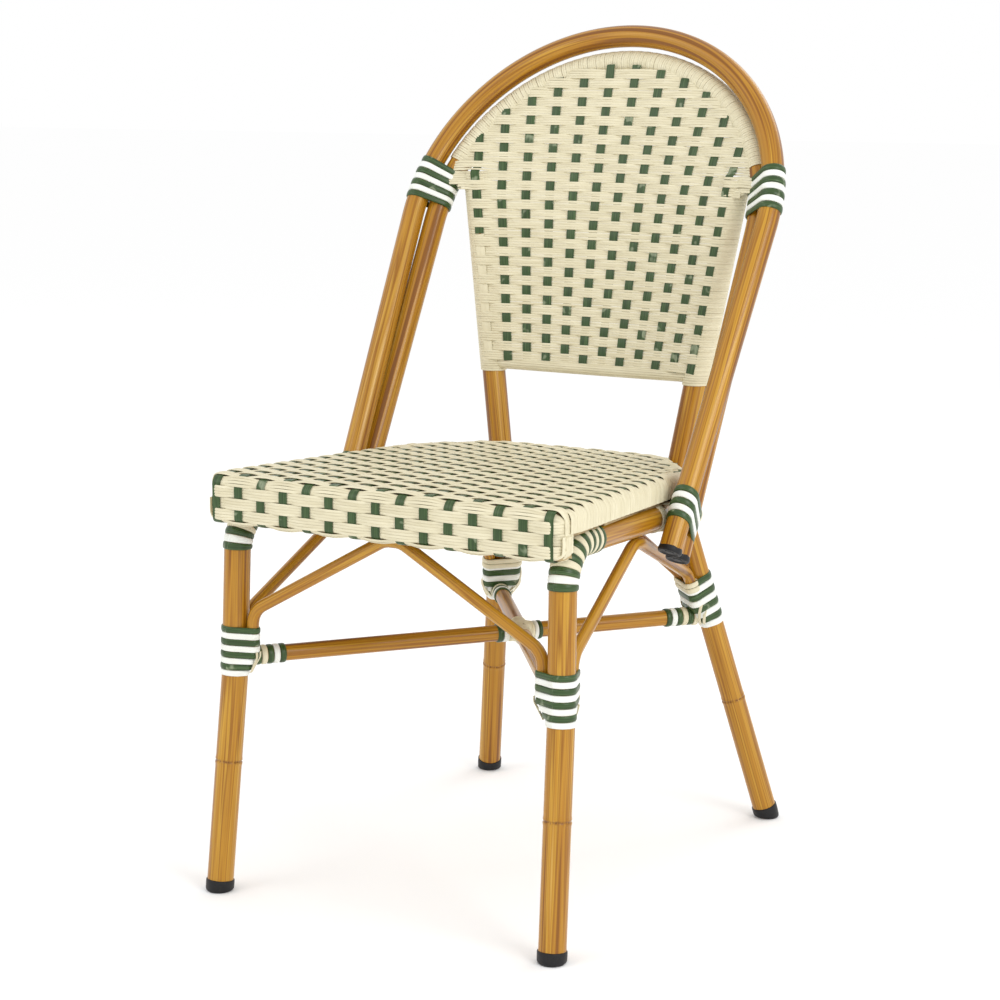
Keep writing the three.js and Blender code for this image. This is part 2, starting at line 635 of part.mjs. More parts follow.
function addBack() {
  const archOf = innerHoop.between((p) => p.z >= UPPER_BINDING[1] + 3);
  const fold = bottomBarRoute(3);
  const rolls = [solid(tube(archOf, HOOP_R + WEAVE))];
  rolls.push(solid(tube(fold, BOTTOM_BAR_R + WEAVE, BRACE_SIDES)));
  const cutters = [room(innerHoop, HOOP_R), room(outerHoop, HOOP_R), room(fold, BOTTOM_BAR_R, BRACE_SIDES)];
  for (const { side, rear } of legs) {
    const roll = rear.between((p) => p.z >= PANEL_BOTTOM && p.z <= UPRIGHT_TOP[2] - 3);
    rolls.push(solid(tube(roll, REAR_R + WEAVE + 0.3)));
    cutters.push(room(rear, REAR_R), upperBindingRoom(side));
  }
  addNode('woven_back', geometryOf(without(joined([panelSheet(), ...rolls]), cutters)), 'cream');
  addNode('back_bottom_bar', tube(bottomBarRoute(-1), BOTTOM_BAR_R, BRACE_SIDES), 'bamboo');
}

/** The bar in the lower edge of the panel, bowed back; it reaches this far into the upright tubes. */
function bottomBarRoute(reach) {
  const z = PANEL_BOTTOM + BOTTOM_BAR_R + WEAVE;
  const [x, y] = uprightAt(z);
  const half = x - REAR_R + reach;
  const bow = PANEL_CENTRE.bottom - 2 - y + BAR_AHEAD;
  const stations = [];
  for (let k = 0; k <= BAR_STEPS; k += 1) {
    const across = (2 * k) / BAR_STEPS - 1;
    const point = new THREE.Vector3(across * half, y - BAR_AHEAD + bow * (1 - across ** 2), z);
    stations.push({ point, direction: new THREE.Vector3(half, -2 * bow * across, 0).normalize() });
  }
  return new Route(stations);
}

function upperBindingRoom(side) {
  const [low, high] = UPPER_BINDING;
  const stretch = halfOf(outerHoop, side).between(heightBand([low - 1, high + 1], side));
  const inner = [{ route: halfOf(innerHoop, side), radius: HOOP_R + GAP }];
  return binding(stretch, HOOP_R + GAP, inner, false);
}

addFrame();
addCapsAndPlugs();
addBindings();
addCrossingBinding();
addSeat();
addBack();

// the origin goes to the middle of the footprint
const bounds = new THREE.Box3().setFromObject(meshes);
const centre = bounds.getCenter(new THREE.Vector3());
meshes.position.set(-centre.x, -centre.y, -bounds.min.z);
const chair = new THREE.Group();
chair.add(meshes);

export default chair;
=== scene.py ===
"""A stacking bistro chair: bamboo-look tubes, wound cane bindings, a seat and back woven strand by strand.

Metres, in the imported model's frame: +Z up, the front of the chair faces -Y. Every tube is rebuilt smooth
along the centre line of its CAD node, and the bindings and the weave are laid on those lines."""

import math
import random

import bpy
import numpy as np
from mathutils import Matrix, Vector
from mathutils.bvhtree import BVHTree


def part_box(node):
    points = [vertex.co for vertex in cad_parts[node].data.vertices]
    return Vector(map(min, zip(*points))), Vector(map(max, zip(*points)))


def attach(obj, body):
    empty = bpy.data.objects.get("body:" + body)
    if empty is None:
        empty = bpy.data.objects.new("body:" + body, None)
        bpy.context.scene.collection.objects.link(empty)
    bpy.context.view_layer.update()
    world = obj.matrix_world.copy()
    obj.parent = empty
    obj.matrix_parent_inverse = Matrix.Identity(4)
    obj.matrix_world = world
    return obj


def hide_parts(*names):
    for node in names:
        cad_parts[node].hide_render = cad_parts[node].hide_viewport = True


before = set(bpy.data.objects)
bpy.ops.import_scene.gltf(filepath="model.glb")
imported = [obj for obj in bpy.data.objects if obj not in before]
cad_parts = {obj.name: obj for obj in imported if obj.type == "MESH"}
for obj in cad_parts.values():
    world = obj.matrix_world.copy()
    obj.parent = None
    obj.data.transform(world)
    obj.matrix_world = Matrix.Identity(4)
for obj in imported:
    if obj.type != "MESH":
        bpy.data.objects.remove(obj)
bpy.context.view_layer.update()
MM = 0.001
SIDES = {"right": 1, "left": -1}
random.seed(11)

# ---------- sizes ----------
TUBE_FACETS = 36  # round a tube
TUBE_STEP = 5 * MM
FLUTE_DEPTH = 0.16 * MM
FRONT_RING_Z = 141 * MM  # bamboo rings on the legs
REAR_RING_Z = 150 * MM
STRIP_THICKNESS = 1.5 * MM  # wound strips
THIN_STRIP = 1.2 * MM  # thickness of the cream strips that tie tubes together
STRAND_WIDTH = 2.75 * MM  # cream strands of the weave
STRAND_THICKNESS = 1.35 * MM
STRANDS = 4  # strands in a row of the weave
STAKE_THICKNESS = 1.1 * MM
STAKE_DEPTH = 0.35 * MM  # how far a stake stands off the middle of the weave
STRAND_STEP = 3.6 * MM  # between the stations of a strand of a row
WEAVE_DEPTH = 1.25 * MM  # how far a row stands off the middle of the weave
BACK_ROW = 11 * MM
BACK_STAKES = 12
BACK_PITCH = 23.5 * MM  # at the lower edge
BACK_STAKE_WIDTH = 10.9 * MM
BACK_FAN = 0.25  # how much wider the stakes stand at the top of the uprights
SEAT_ROW = 12 * MM
SEAT_STAKES = 15
SEAT_PITCH = 28.2 * MM
SEAT_STAKE_WIDTH = 10.4 * MM
SEAT_EDGE = 11 * MM  # radius of the edges of the pad
SEAT_CORNER = 288 * MM  # from the front edge to where the rows stop going down the sides
SEAT_FLAT = 30 * MM  # from the front edge to where the pad is flat and its stakes start to fan
SEAT_ROUND = 12 * MM  # from the front edge to where its outline is read
RING_REACH = 8 * MM  # finer stations on both sides of a bamboo ring
RING_BUMPS = ((-2.2, 2.0, 0.55), (2.0, 1.8, 0.35), (0, 0.7, -0.6))  # place, width and height, in mm
TUBE_TO_FLOOR = 1 * MM  # the lowest that a tube reaches inside its foot cap
CAP_WALL = 1.1 * MM
PANEL_JOINT_DROP = 12 * MM  # the back's edge passes to the hoop this far below the uprights' tops


# ---------- numbers and directions ----------
FORWARD, REARWARD, DOWN, UP, RIGHT = (0, -1, 0), (0, 1, 0), (0, 0, -1), (0, 0, 1), (1, 0, 0)


def unit(v):
    return v / np.maximum(np.linalg.norm(v, axis=-1, keepdims=True), 1e-12)


def jitter(most):
    return random.uniform(-most, most) * MM


def spaced(count):
    """Angles evenly spaced round a circle."""
    return np.linspace(0, 2 * math.pi, count, endpoint=False)


def around(angles, first, second):
    """Directions at these angles in the plane of two directions."""
    return np.cos(angles)[:, None] * first + np.sin(angles)[:, None] * second


def quarter_turn(start, count):
    """Angles over a quarter of a circle."""
    return np.radians(np.linspace(start, start + 90, count))


def centred(count):
    """Places one step apart, with the middle at 0."""
    return np.arange(count) - (count - 1) / 2


def smoothstep(t):
    t = np.clip(t, 0, 1)
    return t * t * (3 - 2 * t)


class Route:
    """A smooth centre line through stations, each a place and a direction, with a frame along it."""

    def __init__(self, places, directions, spacing=1.5 * MM):
        line = []
        for a, b, start, end in zip(places[:-1], places[1:], directions[:-1], directions[1:]):
            chord = np.linalg.norm(b - a)
            t = np.linspace(0, 1, max(2, int(chord / spacing)), endpoint=False)[:, None]
            line.append((1 + 2 * t) * (1 - t) ** 2 * a + t * t * (3 - 2 * t) * b)
            line[-1] += chord * (t * (1 - t) ** 2 * start - t * t * (1 - t) * end)
        self.places = np.vstack([*line, places[-1:]])
        self.tangents = unit(np.gradient(self.places, axis=0))
        steps = np.linalg.norm(np.diff(self.places, axis=0), axis=1)
        self.lengths = np.concatenate([[0], np.cumsum(steps)])
        self.length = self.lengths[-1]
        aside = np.array([0, 0, 1.0]) if abs(self.tangents[0][2]) < 0.8 else np.array([0, -1.0, 0])
        normals = []
        for tangent in self.tangents:
            aside = unit(aside - tangent * np.dot(aside, tangent))
            normals.append(aside)
        self.normals = np.array(normals)

    def at(self, lengths):
        """Places, tangents, and two normals at these distances along the line."""
        lengths = np.atleast_1d(lengths)
        places, tangents, normals = (
            np.stack([np.interp(lengths, self.lengths, values[:, k]) for k in range(3)], axis=1)
            for values in (self.places, self.tangents, self.normals)
        )
        over = (lengths - np.clip(lengths, 0, self.length))[:, None]
        tangents, normals = unit(tangents), unit(normals)
        return places + over * tangents, tangents, normals, np.cross(tangents, normals)

    def where(self, axis, value):
        """The distance at which one coordinate first passes a value."""
        level = self.places[:, axis] - value
        return self.lengths[np.nonzero(level[:-1] * level[1:] <= 0)[0][0]]

    def nearest(self, point):
        return self.lengths[np.argmin(np.linalg.norm(self.places - point, axis=1))]

    def crossing(self, point, direction, limit=80 * MM):
        """Where the line passes the plane through a point, square to a direction, near the point."""
        level = (self.places - point) @ direction
        away = np.linalg.norm(self.places - point, axis=1)
        return self.places[np.argmin(np.where(away < limit, np.abs(level), 1.0))]


# ---------- reading the CAD tubes ----------
def cad_mesh(node):
    """The corners and triangles of a CAD node, with corners at one place merged."""
    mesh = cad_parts[node].data
    places = np.array([v.co for v in mesh.vertices], float)
    corners, index = np.unique(np.round(places, 6), axis=0, return_inverse=True)
    triangles = index.reshape(-1)[np.array([p.vertices for p in mesh.polygons])]
    return corners, triangles


def middle(points):
    return (points.min(0) + points.max(0)) / 2


def flat_end(corners, triangles, toward, fewest=7, widest=40 * MM):
    """The flat end of a bar that lies farthest toward a direction: its corners, centre and outward
    direction. It is a flat patch of at least some triangles, no wider than a tube."""
    a, b, c = (corners[triangles[:, k]] for k in range(3))
    normals = unit(np.cross(b - a, c - a))
    by_edge, groups = {}, [{t} for t in range(len(triangles))]
    for t, triangle in enumerate(triangles):
        for i, j in zip(triangle, np.roll(triangle, 1)):
            other = by_edge.setdefault((min(i, j), max(i, j)), t)
            if normals[t] @ normals[other] > 0.9999 and groups[t] is not groups[other]:
                groups[other] |= groups[t]
                for member in groups[t]:
                    groups[member] = groups[other]
    ends = []
    for group in {id(g): g for g in groups}.values():
        rim = {i for t in group for i in triangles[t]}
        points = corners[sorted(rim)]
        if len(group) >= fewest and np.ptp(points, axis=0).max() < widest:
            ends.append((rim, middle(points), normals[min(group)]))
    return max(ends, key=lambda end: end[1] @ np.array(toward))


def cad_rings(node, toward):
    """Centres, axes and radius of the rings of corners along a CAD tube, from its end toward a direction."""
    corners, triangles = cad_mesh(node)
    neighbours = [set() for _ in corners]
    for triangle in triangles:
        for i in triangle:
            neighbours[i].update(triangle)
    layer, _, _ = flat_end(corners, triangles, toward)
    sides = len(layer)
    rings, seen = [], set()
    while len(layer) == sides:
        rings.append(corners[sorted(layer)])
        seen |= layer
        layer = {n for i in layer for n in neighbours[i]} - seen
    centres = np.array([middle(ring) for ring in rings])
    chords = unit(np.diff(centres, axis=0))
    axes = [chords[0]]
    for ring, centre, before in zip(rings[1:-1], centres[1:-1], chords):
        axis = np.linalg.svd(ring - centre)[2][2]
        axes.append(axis * np.sign(axis @ before))
    axes.append(chords[-1])
    radius = np.linalg.norm(rings[0] - centres[0], axis=1).max()
    return centres, np.array(axes), radius


def cad_route(node, toward):
    """The centre line and radius of a CAD tube, from its end that lies farthest toward a direction."""
    centres, axes, radius = cad_rings(node, toward)
    return Route(centres, axes), radius


def leg_route(node):
    """The same for a rear leg, read down from its top and run on to the floor, as its foot is slanted."""
    centres, axes, radius = cad_rings(node, UP)
    reach = (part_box(node)[0].z - centres[-1][2]) / axes[-1][2]
    centres = np.vstack([centres, centres[-1] + axes[-1] * reach])[::-1]
    axes = -np.vstack([axes, axes[-1:]])[::-1]
    return Route(centres, axes), radius


def cad_half_route(node, toward, crossed):
    """The centre line of half a stretcher: one flat end, and a stop at the stretcher that it crosses."""
    _, start, outward = flat_end(*cad_mesh(node), toward)
    inward = -unit(outward)
    line = start + np.linspace(0, 0.6, 1200)[:, None] * inward
    gaps = [np.linalg.norm(crossed.places - p, axis=1).min() for p in line]
    stop = line[int(np.argmin(gaps))]
    return Route(np.array([start, stop]), np.array([inward, inward]))


# ---------- meshes ----------
class Pile:
    """Closed surfaces gathered into one piece, with the values that its materials read."""

    def __init__(self):
        self.points, self.faces, self.slots, self.grain, self.tint = [], [], [], [], []
        self.count = 0

    def add(self, grid, slot=0, grain=None, tint=0.5, closed=False):
        """Adds a skin over a grid of points: rows along a path, columns round its section. It closes on
        itself or has capped ends, and the tint is one value or one for each row."""
        rows, columns = grid.shape[:2]
        index = np.arange(rows * columns).reshape(rows, columns)
        after = np.roll(index, -1, axis=1)
        if closed:
            index, after = np.vstack([index, index[:1]]), np.vstack([after, after[:1]])
        faces = np.stack([index[:-1], after[:-1], after[1:], index[1:]], axis=-1).reshape(-1, 4)
        points = grid.reshape(-1, 3)
        grain = np.zeros_like(points) if grain is None else grain.reshape(-1, 3)
        tints = np.broadcast_to(np.reshape(tint, (-1, 1)), (rows, columns)).ravel()
        if not closed:
            points = np.vstack([points, grid[0].mean(0), grid[-1].mean(0)])
            grain, tints = np.vstack([grain, grain[:1], grain[-1:]]), np.append(tints, tints[[0, -1]])
            first, last = index[0], index[-1]
            hubs = np.full(columns, rows * columns)
            front = np.stack([hubs, np.roll(first, -1), first, first], axis=-1)
            back = np.stack([hubs + 1, last, np.roll(last, -1), np.roll(last, -1)], axis=-1)
            faces = np.vstack([faces, front, back])
        a, b, c, d = (points[faces[:, k]] for k in range(4))
        volume = np.sum((np.cross(b - a, c - a) + np.cross(c - a, d - a)) * (a - points.mean(0)))
        if volume < 0:
            faces = faces[:, ::-1]
        self.points.append(points)
        self.grain.append(grain)
        self.tint.append(tints)
        self.slots.append(np.full(len(faces), slot))
        self.faces.append(faces + self.count)
        self.count += len(points)

    def build(self, name, materials, record_slot, replaces=(), sharp=50):
        """The piece, riding on the chair and standing for CAD nodes."""
        faces = [list(dict.fromkeys(corners)) for corners in np.vstack(self.faces).tolist()]
        mesh = bpy.data.meshes.new(name)
        mesh.from_pydata(np.vstack(self.points).tolist(), [], faces)
        mesh.polygons.foreach_set("material_index", np.concatenate(self.slots).astype(np.int32))
        mesh.polygons.foreach_set("use_smooth", np.ones(len(faces), bool))
        grain = mesh.attributes.new("grain", "FLOAT_VECTOR", "POINT")
        grain.data.foreach_set("vector", np.vstack(self.grain).astype(np.float32).ravel())
        tint = mesh.attributes.new("tint", "FLOAT", "POINT")
        tint.data.foreach_set("value", np.concatenate(self.tint).astype(np.float32))
        mesh.set_sharp_from_angle(angle=math.radians(sharp))
        for material in materials:
            mesh.materials.append(material)
        piece = add_piece(name, mesh)
        if replaces:
            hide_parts(*replaces)


def add_piece(name, mesh):
    piece = bpy.data.objects.new(name, mesh)
    bpy.context.scene.collection.objects.link(piece)
    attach(piece, "root")
    return piece


def flat_oval(width, thickness, count):
    """The section of a strand: an oval with flattened faces."""
    angles = spaced(count) + math.pi / count
    cos, sin = np.cos(angles), np.sin(angles)
    across = np.sign(cos) * np.abs(cos) ** 0.7 * width / 2
    height = np.sign(sin) * np.abs(sin) ** 0.8 * thickness / 2
    return across, height


def add_strand(pile, places, normals, width, thickness, slot=0, closed=False, tint=None, count=8):
    """A strand along a path, lying flat against the surface with these normals."""
    if closed:
        tangents = unit(np.roll(places, -1, axis=0) - np.roll(places, 1, axis=0))
    else:
        tangents = unit(np.gradient(places, axis=0))
    sideways = unit(np.cross(tangents, normals))
    up = np.cross(sideways, tangents)
    across, height = flat_oval(width, thickness, count)
    grid = places[:, None] + sideways[:, None] * across[:, None] + up[:, None] * height[:, None]
    along = np.cumsum(np.linalg.norm(np.diff(places, axis=0, prepend=places[:1]), axis=1))
    grain = np.zeros((len(places), count, 3))
    grain[..., 0] = across / MM
    grain[..., 1] = along[:, None] / MM
    grain[..., 2] = random.uniform(0, 50)
    pile.add(grid, slot, grain, random.random() if tint is None else tint, closed=closed)


# ---------- materials ----------
class Graph:
    """A node material with one Principled shader, and short ways to add nodes to it."""

    def __init__(self, name, **settings):
        self.material = bpy.data.materials.new(name)
        self.material.use_nodes = True
        self.tree = self.material.node_tree
        self.shader = self.tree.nodes["Principled BSDF"]
        for socket, value in settings.items():
            self.shader.inputs[socket.replace("_", " ")].default_value = value

    def node(self, kind, links=None, **values):
        made = self.tree.nodes.new(kind)
        for name, value in values.items():
            setattr(made, name, value)
        for socket, source in (links or {}).items():
            if isinstance(source, bpy.types.NodeSocket):
                self.tree.links.new(source, made.inputs[socket])
            else:
                made.inputs[socket].default_value = source
        return made

    def attribute(self, name, output="Vector"):
        return self.node("ShaderNodeAttribute", attribute_name=name).outputs[output]

    def noise(self, vector, stretch, scale, detail=3, roughness=0.55):
        """Noise drawn out along an axis: stretch says how fast it changes along each."""
        mapping = self.node("ShaderNodeMapping", {"Vector": vector, "Scale": stretch})
        links = {"Vector": mapping.outputs[0], "Scale": scale, "Detail": detail, "Roughness": roughness}
        return self.node("ShaderNodeTexNoise", links).outputs["Fac"]

    def ramp(self, factor, stops, mode="LINEAR"):
        made = self.node("ShaderNodeValToRGB", {"Fac": factor})
        ramp = made.color_ramp
        ramp.interpolation = mode
        for place, _ in stops[2:]:
            ramp.elements.new(place)
        for element, (place, colour) in zip(ramp.elements, stops):
            element.position = place
            element.color = colour
        return made.outputs["Color"]

    def mix(self, factor, a, b, mode="MIX"):
        links = {0: factor, 6: a, 7: b}
        return self.node("ShaderNodeMix", links, data_type="RGBA", blend_type=mode).outputs[2]

    def math(self, operation, a, b=0.0):
        return self.node("ShaderNodeMath", {0: a, 1: b}, operation=operation).outputs[0]

    def finish(self, colour, fine, low, high, strength, distance):
        """The material, with this colour, and one fine pattern for its roughness and its bumps."""
        spread = self.node("ShaderNodeMapRange", {"Value": fine, "To Min": low, "To Max": high})
        bumps = self.node("ShaderNodeBump", {"Height": fine, "Strength": strength, "Distance": distance})
        sources = {"Base Color": colour, "Roughness": spread.outputs[0], "Normal": bumps.outputs[0]}
        for socket, source in sources.items():
            self.tree.links.new(source, self.shader.inputs[socket])
        return self.material

def srgb(red, green, blue):
    """A colour given as it looks on a screen, from 0 to 255."""
    values = [c / 255 for c in (red, green, blue)]
    return (*[c / 12.92 if c <= 0.04045 else ((c + 0.055) / 1.055) ** 2.4 for c in values], 1)


def bamboo_material():
    """Lacquered bamboo: long sharp-edged streak bands, fine grain, and dark rings where the tint says so.
    The bands are the film's own, with their lightest and darkest tones pushed past it as painted highlight
    and painted shade.
    """
    g = Graph("bamboo", Coat_Weight=0.25, Coat_Roughness=0.1, IOR=1.38)
    place = g.attribute("grain")
    broad = g.noise(place, (1.4, 1.4, 0.8), 1.4, detail=2, roughness=0.4)
    fine = g.noise(place, (7, 7, 2.2), 1.6, detail=4, roughness=0.6)
    # streak tones: the film's own bands, partly real and partly painted light; the darkest stops are painted
    # shade and the lightest a painted highlight
    film_streaks_with_painted_light = [
        (0.0, srgb(114, 66, 2)),
        (0.37, srgb(138, 86, 6)),
        (0.41, srgb(174, 119, 20)),
        (0.49, srgb(188, 136, 32)),
        (0.55, srgb(154, 100, 10)),
        (0.60, srgb(200, 152, 48)),
        (0.68, srgb(180, 126, 24)),
        (0.76, srgb(222, 182, 92)),
    ]
    fibres = g.ramp(fine, [(0.3, srgb(196, 182, 150)), (0.7, srgb(255, 252, 240))])
    base = g.mix(0.55, g.ramp(broad, film_streaks_with_painted_light), fibres, "MULTIPLY")
    marks = g.ramp(g.noise(place, (4, 4, 60), 1.5, detail=4), [(0.38, BLACK), (0.62, PURE_WHITE)])
    ring = g.math("MULTIPLY", g.attribute("tint", "Fac"), marks)
    return g.finish(g.mix(ring, base, srgb(104, 58, 14)), fine, 0.26, 0.42, 0.12, 0.0004)


def strand_material(name, light, dark, roughness, fibre_depth):
    """A flat plastic strand: fine lines along it, and a tone of its own."""
    g = Graph(name, IOR=1.46)
    place = g.attribute("grain")
    lines = g.noise(place, (2.4, 0.03, 1), 1.0, detail=3, roughness=0.65)
    blotches = g.noise(place, (0.3, 0.05, 1), 0.6, detail=2)
    base = g.mix(g.math("MULTIPLY", g.attribute("tint", "Fac"), 0.35), g.mix(lines, dark, light), dark)
    shade = g.ramp(blotches, [(0.25, srgb(226, 222, 212)), (0.7, PURE_WHITE)])
    base = g.mix(0.6, base, shade, "MULTIPLY")
    return g.finish(base, lines, roughness, roughness + 0.14, fibre_depth, 0.0005)


def green_material():
    """Glossy green cane, streaked along its length, with the odd pale scuff."""
    g = Graph("green_cane", IOR=1.42, Coat_Weight=0.08, Coat_Roughness=0.25)
    place = g.attribute("grain")
    lines = g.noise(place, (1.3, 0.02, 1), 1.0, detail=4, roughness=0.6)
    base = g.ramp(lines, [(0.3, srgb(32, 52, 20)), (0.5, srgb(48, 73, 32)), (0.72, srgb(78, 103, 60))])
    scuffs = g.noise(place, (0.05, 0.05, 1), 1.0, detail=2)
    worn = g.ramp(scuffs, [(0.63, BLACK), (0.68, PURE_WHITE)])
    base = g.mix(g.math("MULTIPLY", worn, g.math("MULTIPLY", lines, 0.9)), base, srgb(172, 180, 150))
    return g.finish(base, lines, 0.28, 0.42, 0.15, 0.0004)


def solid_material(name, stretch, scale, detail, tones, roughness, bumps, **settings):
    """A material patterned by one noise through the solid, between two tones."""
    g = Graph(name, **settings)
    place = g.node("ShaderNodeTexCoord").outputs["Object"]
    pattern = g.noise(place, stretch, scale, detail=detail)
    return g.finish(g.ramp(pattern, tones), pattern, *roughness, *bumps)


BLACK, PURE_WHITE = (0, 0, 0, 1), (1, 1, 1, 1)
BAMBOO = bamboo_material()
CREAM = strand_material("cream_strand", srgb(238, 231, 205), srgb(212, 203, 170), 0.42, 0.2)
WHITE = strand_material("white_strip", srgb(250, 252, 249), srgb(231, 234, 228), 0.36, 0.12)
GREEN = green_material()
RUBBER_TONES = [(0.3, srgb(10, 10, 11)), (0.75, srgb(30, 30, 32))]
RUBBER = solid_material("black_rubber", (1, 1, 1), 900, 3, RUBBER_TONES, (0.4, 0.6), (0.2, 0.0003), IOR=1.4)
# the board and frame inside the seat pad, seen from below and through the weave
CORE_TONES = [(0.3, srgb(150, 128, 92)), (0.7, srgb(186, 164, 122))]
CORE = solid_material("pad_core", (6, 90, 6), 1.4, 4, CORE_TONES, (0.6, 0.8), (0.2, 0.0006), IOR=1.45)
CANES = [GREEN, WHITE, CREAM]
CANE_SLOT = {"g": 0, "w": 1, "c": 2}
LEG_COLOURS = "wgwgwgwg"  # from the lower end up

# ---------- centre lines from the frame ----------
legs = {}
for side in SIDES:
    front, LEG_R = cad_route(f"front_leg_and_side_rail_{side}", DOWN)
    rear, REAR_R = leg_route(f"rear_leg_and_upright_{side}")
    brace, BRACE_R = cad_route(f"side_brace_{side}", FORWARD)
    legs[side] = {"front": front, "rear": rear, "side_brace": brace}
outer_hoop, HOOP_R = cad_route("outer_hoop", RIGHT)
inner_hoop, _ = cad_route("inner_hoop", RIGHT)
front_rail, RAIL_R = cad_route("front_seat_rail", RIGHT)
rear_rail, _ = cad_route("rear_seat_rail", RIGHT)
front_brace, _ = cad_route("front_brace", RIGHT)
rear_brace, _ = cad_route("rear_brace", RIGHT)
bottom_bar, BAR_R = cad_route("back_bottom_bar", RIGHT)
long_stretcher, STRETCHER_R = cad_route("long_stretcher", FORWARD)
front_half = cad_half_route("front_half_stretcher", FORWARD, long_stretcher)
rear_half = cad_half_route("rear_half_stretcher", REARWARD, long_stretcher)


# ---------- tubes ----------
def ring_swell(distance):
    """How far a bamboo ring stands out at a distance from its groove."""
    bumps = (height * np.exp(-(((distance / MM - at) / width) ** 2)) for at, width, height in RING_BUMPS)
    return sum(bumps) * MM


def build_tube(name, route, radius, rings=()):
    """A bamboo tube with shallow flutes and raised rings."""
    stations = set(np.linspace(0, route.length, max(3, int(route.length / TUBE_STEP))))
    for ring in rings:
        stations |= set(ring + np.linspace(-RING_REACH, RING_REACH, 41))
    stations = np.array(sorted(s for s in stations if 0 <= s <= route.length))
    places, _, normals, sides = route.at(stations)
    angles = spaced(TUBE_FACETS)
    turn = random.uniform(0, 6)
    girth = radius / LEG_R
    flutes = np.cos(5 * angles + turn) + 0.6 * np.cos(8 * angles - 2 * turn) + 0.4 * np.cos(13 * angles)
    swell, dark = np.zeros(len(stations)), np.zeros(len(stations))
    for ring in rings:
        swell += ring_swell(stations - ring)
        dark += np.exp(-(((stations - ring) / (1.6 * MM)) ** 2))
    reach = radius + swell[:, None] + FLUTE_DEPTH * (flutes - 1.2) / 2 * girth
    grid = places[:, None] + reach[..., None] * around(angles, normals[:, None], sides[:, None])
    grid[..., 2] = np.maximum(grid[..., 2], TUBE_TO_FLOOR)
    grain = np.zeros((len(stations), len(angles), 3))
    grain[..., 0] = np.cos(angles) * girth + turn
    grain[..., 1] = np.sin(angles) * girth + 3 * turn
    grain[..., 2] = stations[:, None] * 2
    pile = Pile()
    pile.add(grid, 0, grain, np.clip(dark, 0, 1))
    pile.build(f"{name}_tube", [BAMBOO], "bamboo", [name])


def build_tubes():
    for side, leg in legs.items():
        front, rear = leg["front"], leg["rear"]
        build_tube(f"front_leg_and_side_rail_{side}", front, LEG_R, [front.where(2, FRONT_RING_Z)])
        build_tube(f"rear_leg_and_upright_{side}", rear, REAR_R, [rear.where(2, REAR_RING_Z)])
        build_tube(f"side_brace_{side}", leg["side_brace"], BRACE_R)
    for name, route, radius in (
        ("outer_hoop", outer_hoop, HOOP_R),
        ("inner_hoop", inner_hoop, HOOP_R),
        ("front_seat_rail", front_rail, RAIL_R),
        ("rear_seat_rail", rear_rail, RAIL_R),
        ("front_brace", front_brace, BRACE_R),
        ("rear_brace", rear_brace, BRACE_R),
        ("long_stretcher", long_stretcher, STRETCHER_R),
        ("front_half_stretcher", front_half, STRETCHER_R),
        ("rear_half_stretcher", rear_half, STRETCHER_R),
        ("back_bottom_bar", bottom_bar, BAR_R),
    ):
        build_tube(name, route, radius)


# ---------- foot caps and hoop plugs ----------
def build_foot_cap(name, route, radius):
    """A rubber cup on a sloping foot: a rolled rim above, and a domed sole flat on the floor."""
    outer = radius + CAP_WALL
    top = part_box(name)[1].z / MM
    levels = np.array([0, 0.6, 1.6, 3.0, 8, top - 1.2, top - 0.6]) * MM
    shares = [0.80, 0.88, 0.95, 0.99, 1.0, 1.0, 0.985]
    foot, tangents, _, _ = route.at(0.0)
    axis = tangents[0]
    slope = axis / axis[2]
    base = foot[0] - slope * foot[0][2]
    angles = spaced(40)
    rings = []
    for level, share in zip(levels, shares):
        tilt = smoothstep(level / (9 * MM))
        up = unit(np.array(UP) * (1 - tilt) + axis * tilt)
        first = unit(np.cross(up, REARWARD))
        rings.append(base + slope * level + outer * share * around(angles, first, np.cross(up, first)))
    rim = rings[-1].mean(0)
    mouth = (radius - 0.2 * MM) / (outer * shares[-1])
    rings.append(rim + (rings[-1] - rim) * mouth + axis * 0.5 * MM)
    grid = np.array(rings)
    grid[..., 2] = np.maximum(grid[..., 2], 0)
    pile = Pile()
    pile.add(grid)
    pile.build(f"{name}_rubber", [RUBBER], "plastic", [name], sharp=40)


def build_plug(name, route, at_start):
    """A black plug in the end of a hoop: a rounded rim, a sunk face and a small raised boss."""
    places, tangents, normals, sides = route.at(0.0 if at_start else route.length)
    outward = -tangents[0] if at_start else tangents[0]
    tube = HOOP_R / MM
    rim = [(-0.3, -3), (0.35, 0.1), (0.4, 2.6), (-0.5, 4.0), (-2.2, 4.3), (-3.4, 3.4), (-4.4, 2.9)]
    boss = [(5.2, 2.9), (4.6, 3.6), (1.0, 3.8)]
    profile = [(tube + past, depth) for past, depth in rim] + boss
    circle = around(spaced(40), normals[0], sides[0])
    pile = Pile()
    pile.add(np.array([places[0] + outward * depth * MM + circle * reach * MM for reach, depth in profile]))
    pile.build(f"{name}_disc", [RUBBER], "plastic", [name], sharp=35)


def build_caps_and_plugs():
    for side in SIDES:
        build_foot_cap(f"front_foot_cap_{side}", legs[side]["front"], LEG_R)
        build_foot_cap(f"rear_foot_cap_{side}", legs[side]["rear"], REAR_R)
        build_plug(f"outer_hoop_plug_{side}", outer_hoop, side == "right")
        build_plug(f"inner_hoop_plug_{side}", inner_hoop, side == "right")


# ---------- wound bindings ----------
def tight_contour(circles, count=48):
    """Points and outward directions of a band pulled round circles, given as (x, y, radius)."""
    ways = around(spaced(count), np.array([1.0, 0]), np.array([0, 1.0]))
    reaches = np.array([ways @ np.array([x, y]) + r for x, y, r in circles])
    centres_and_radii = np.array(circles)[reaches.argmax(0)]
    return centres_and_radii[:, :2] + centres_and_radii[:, 2:] * ways, ways


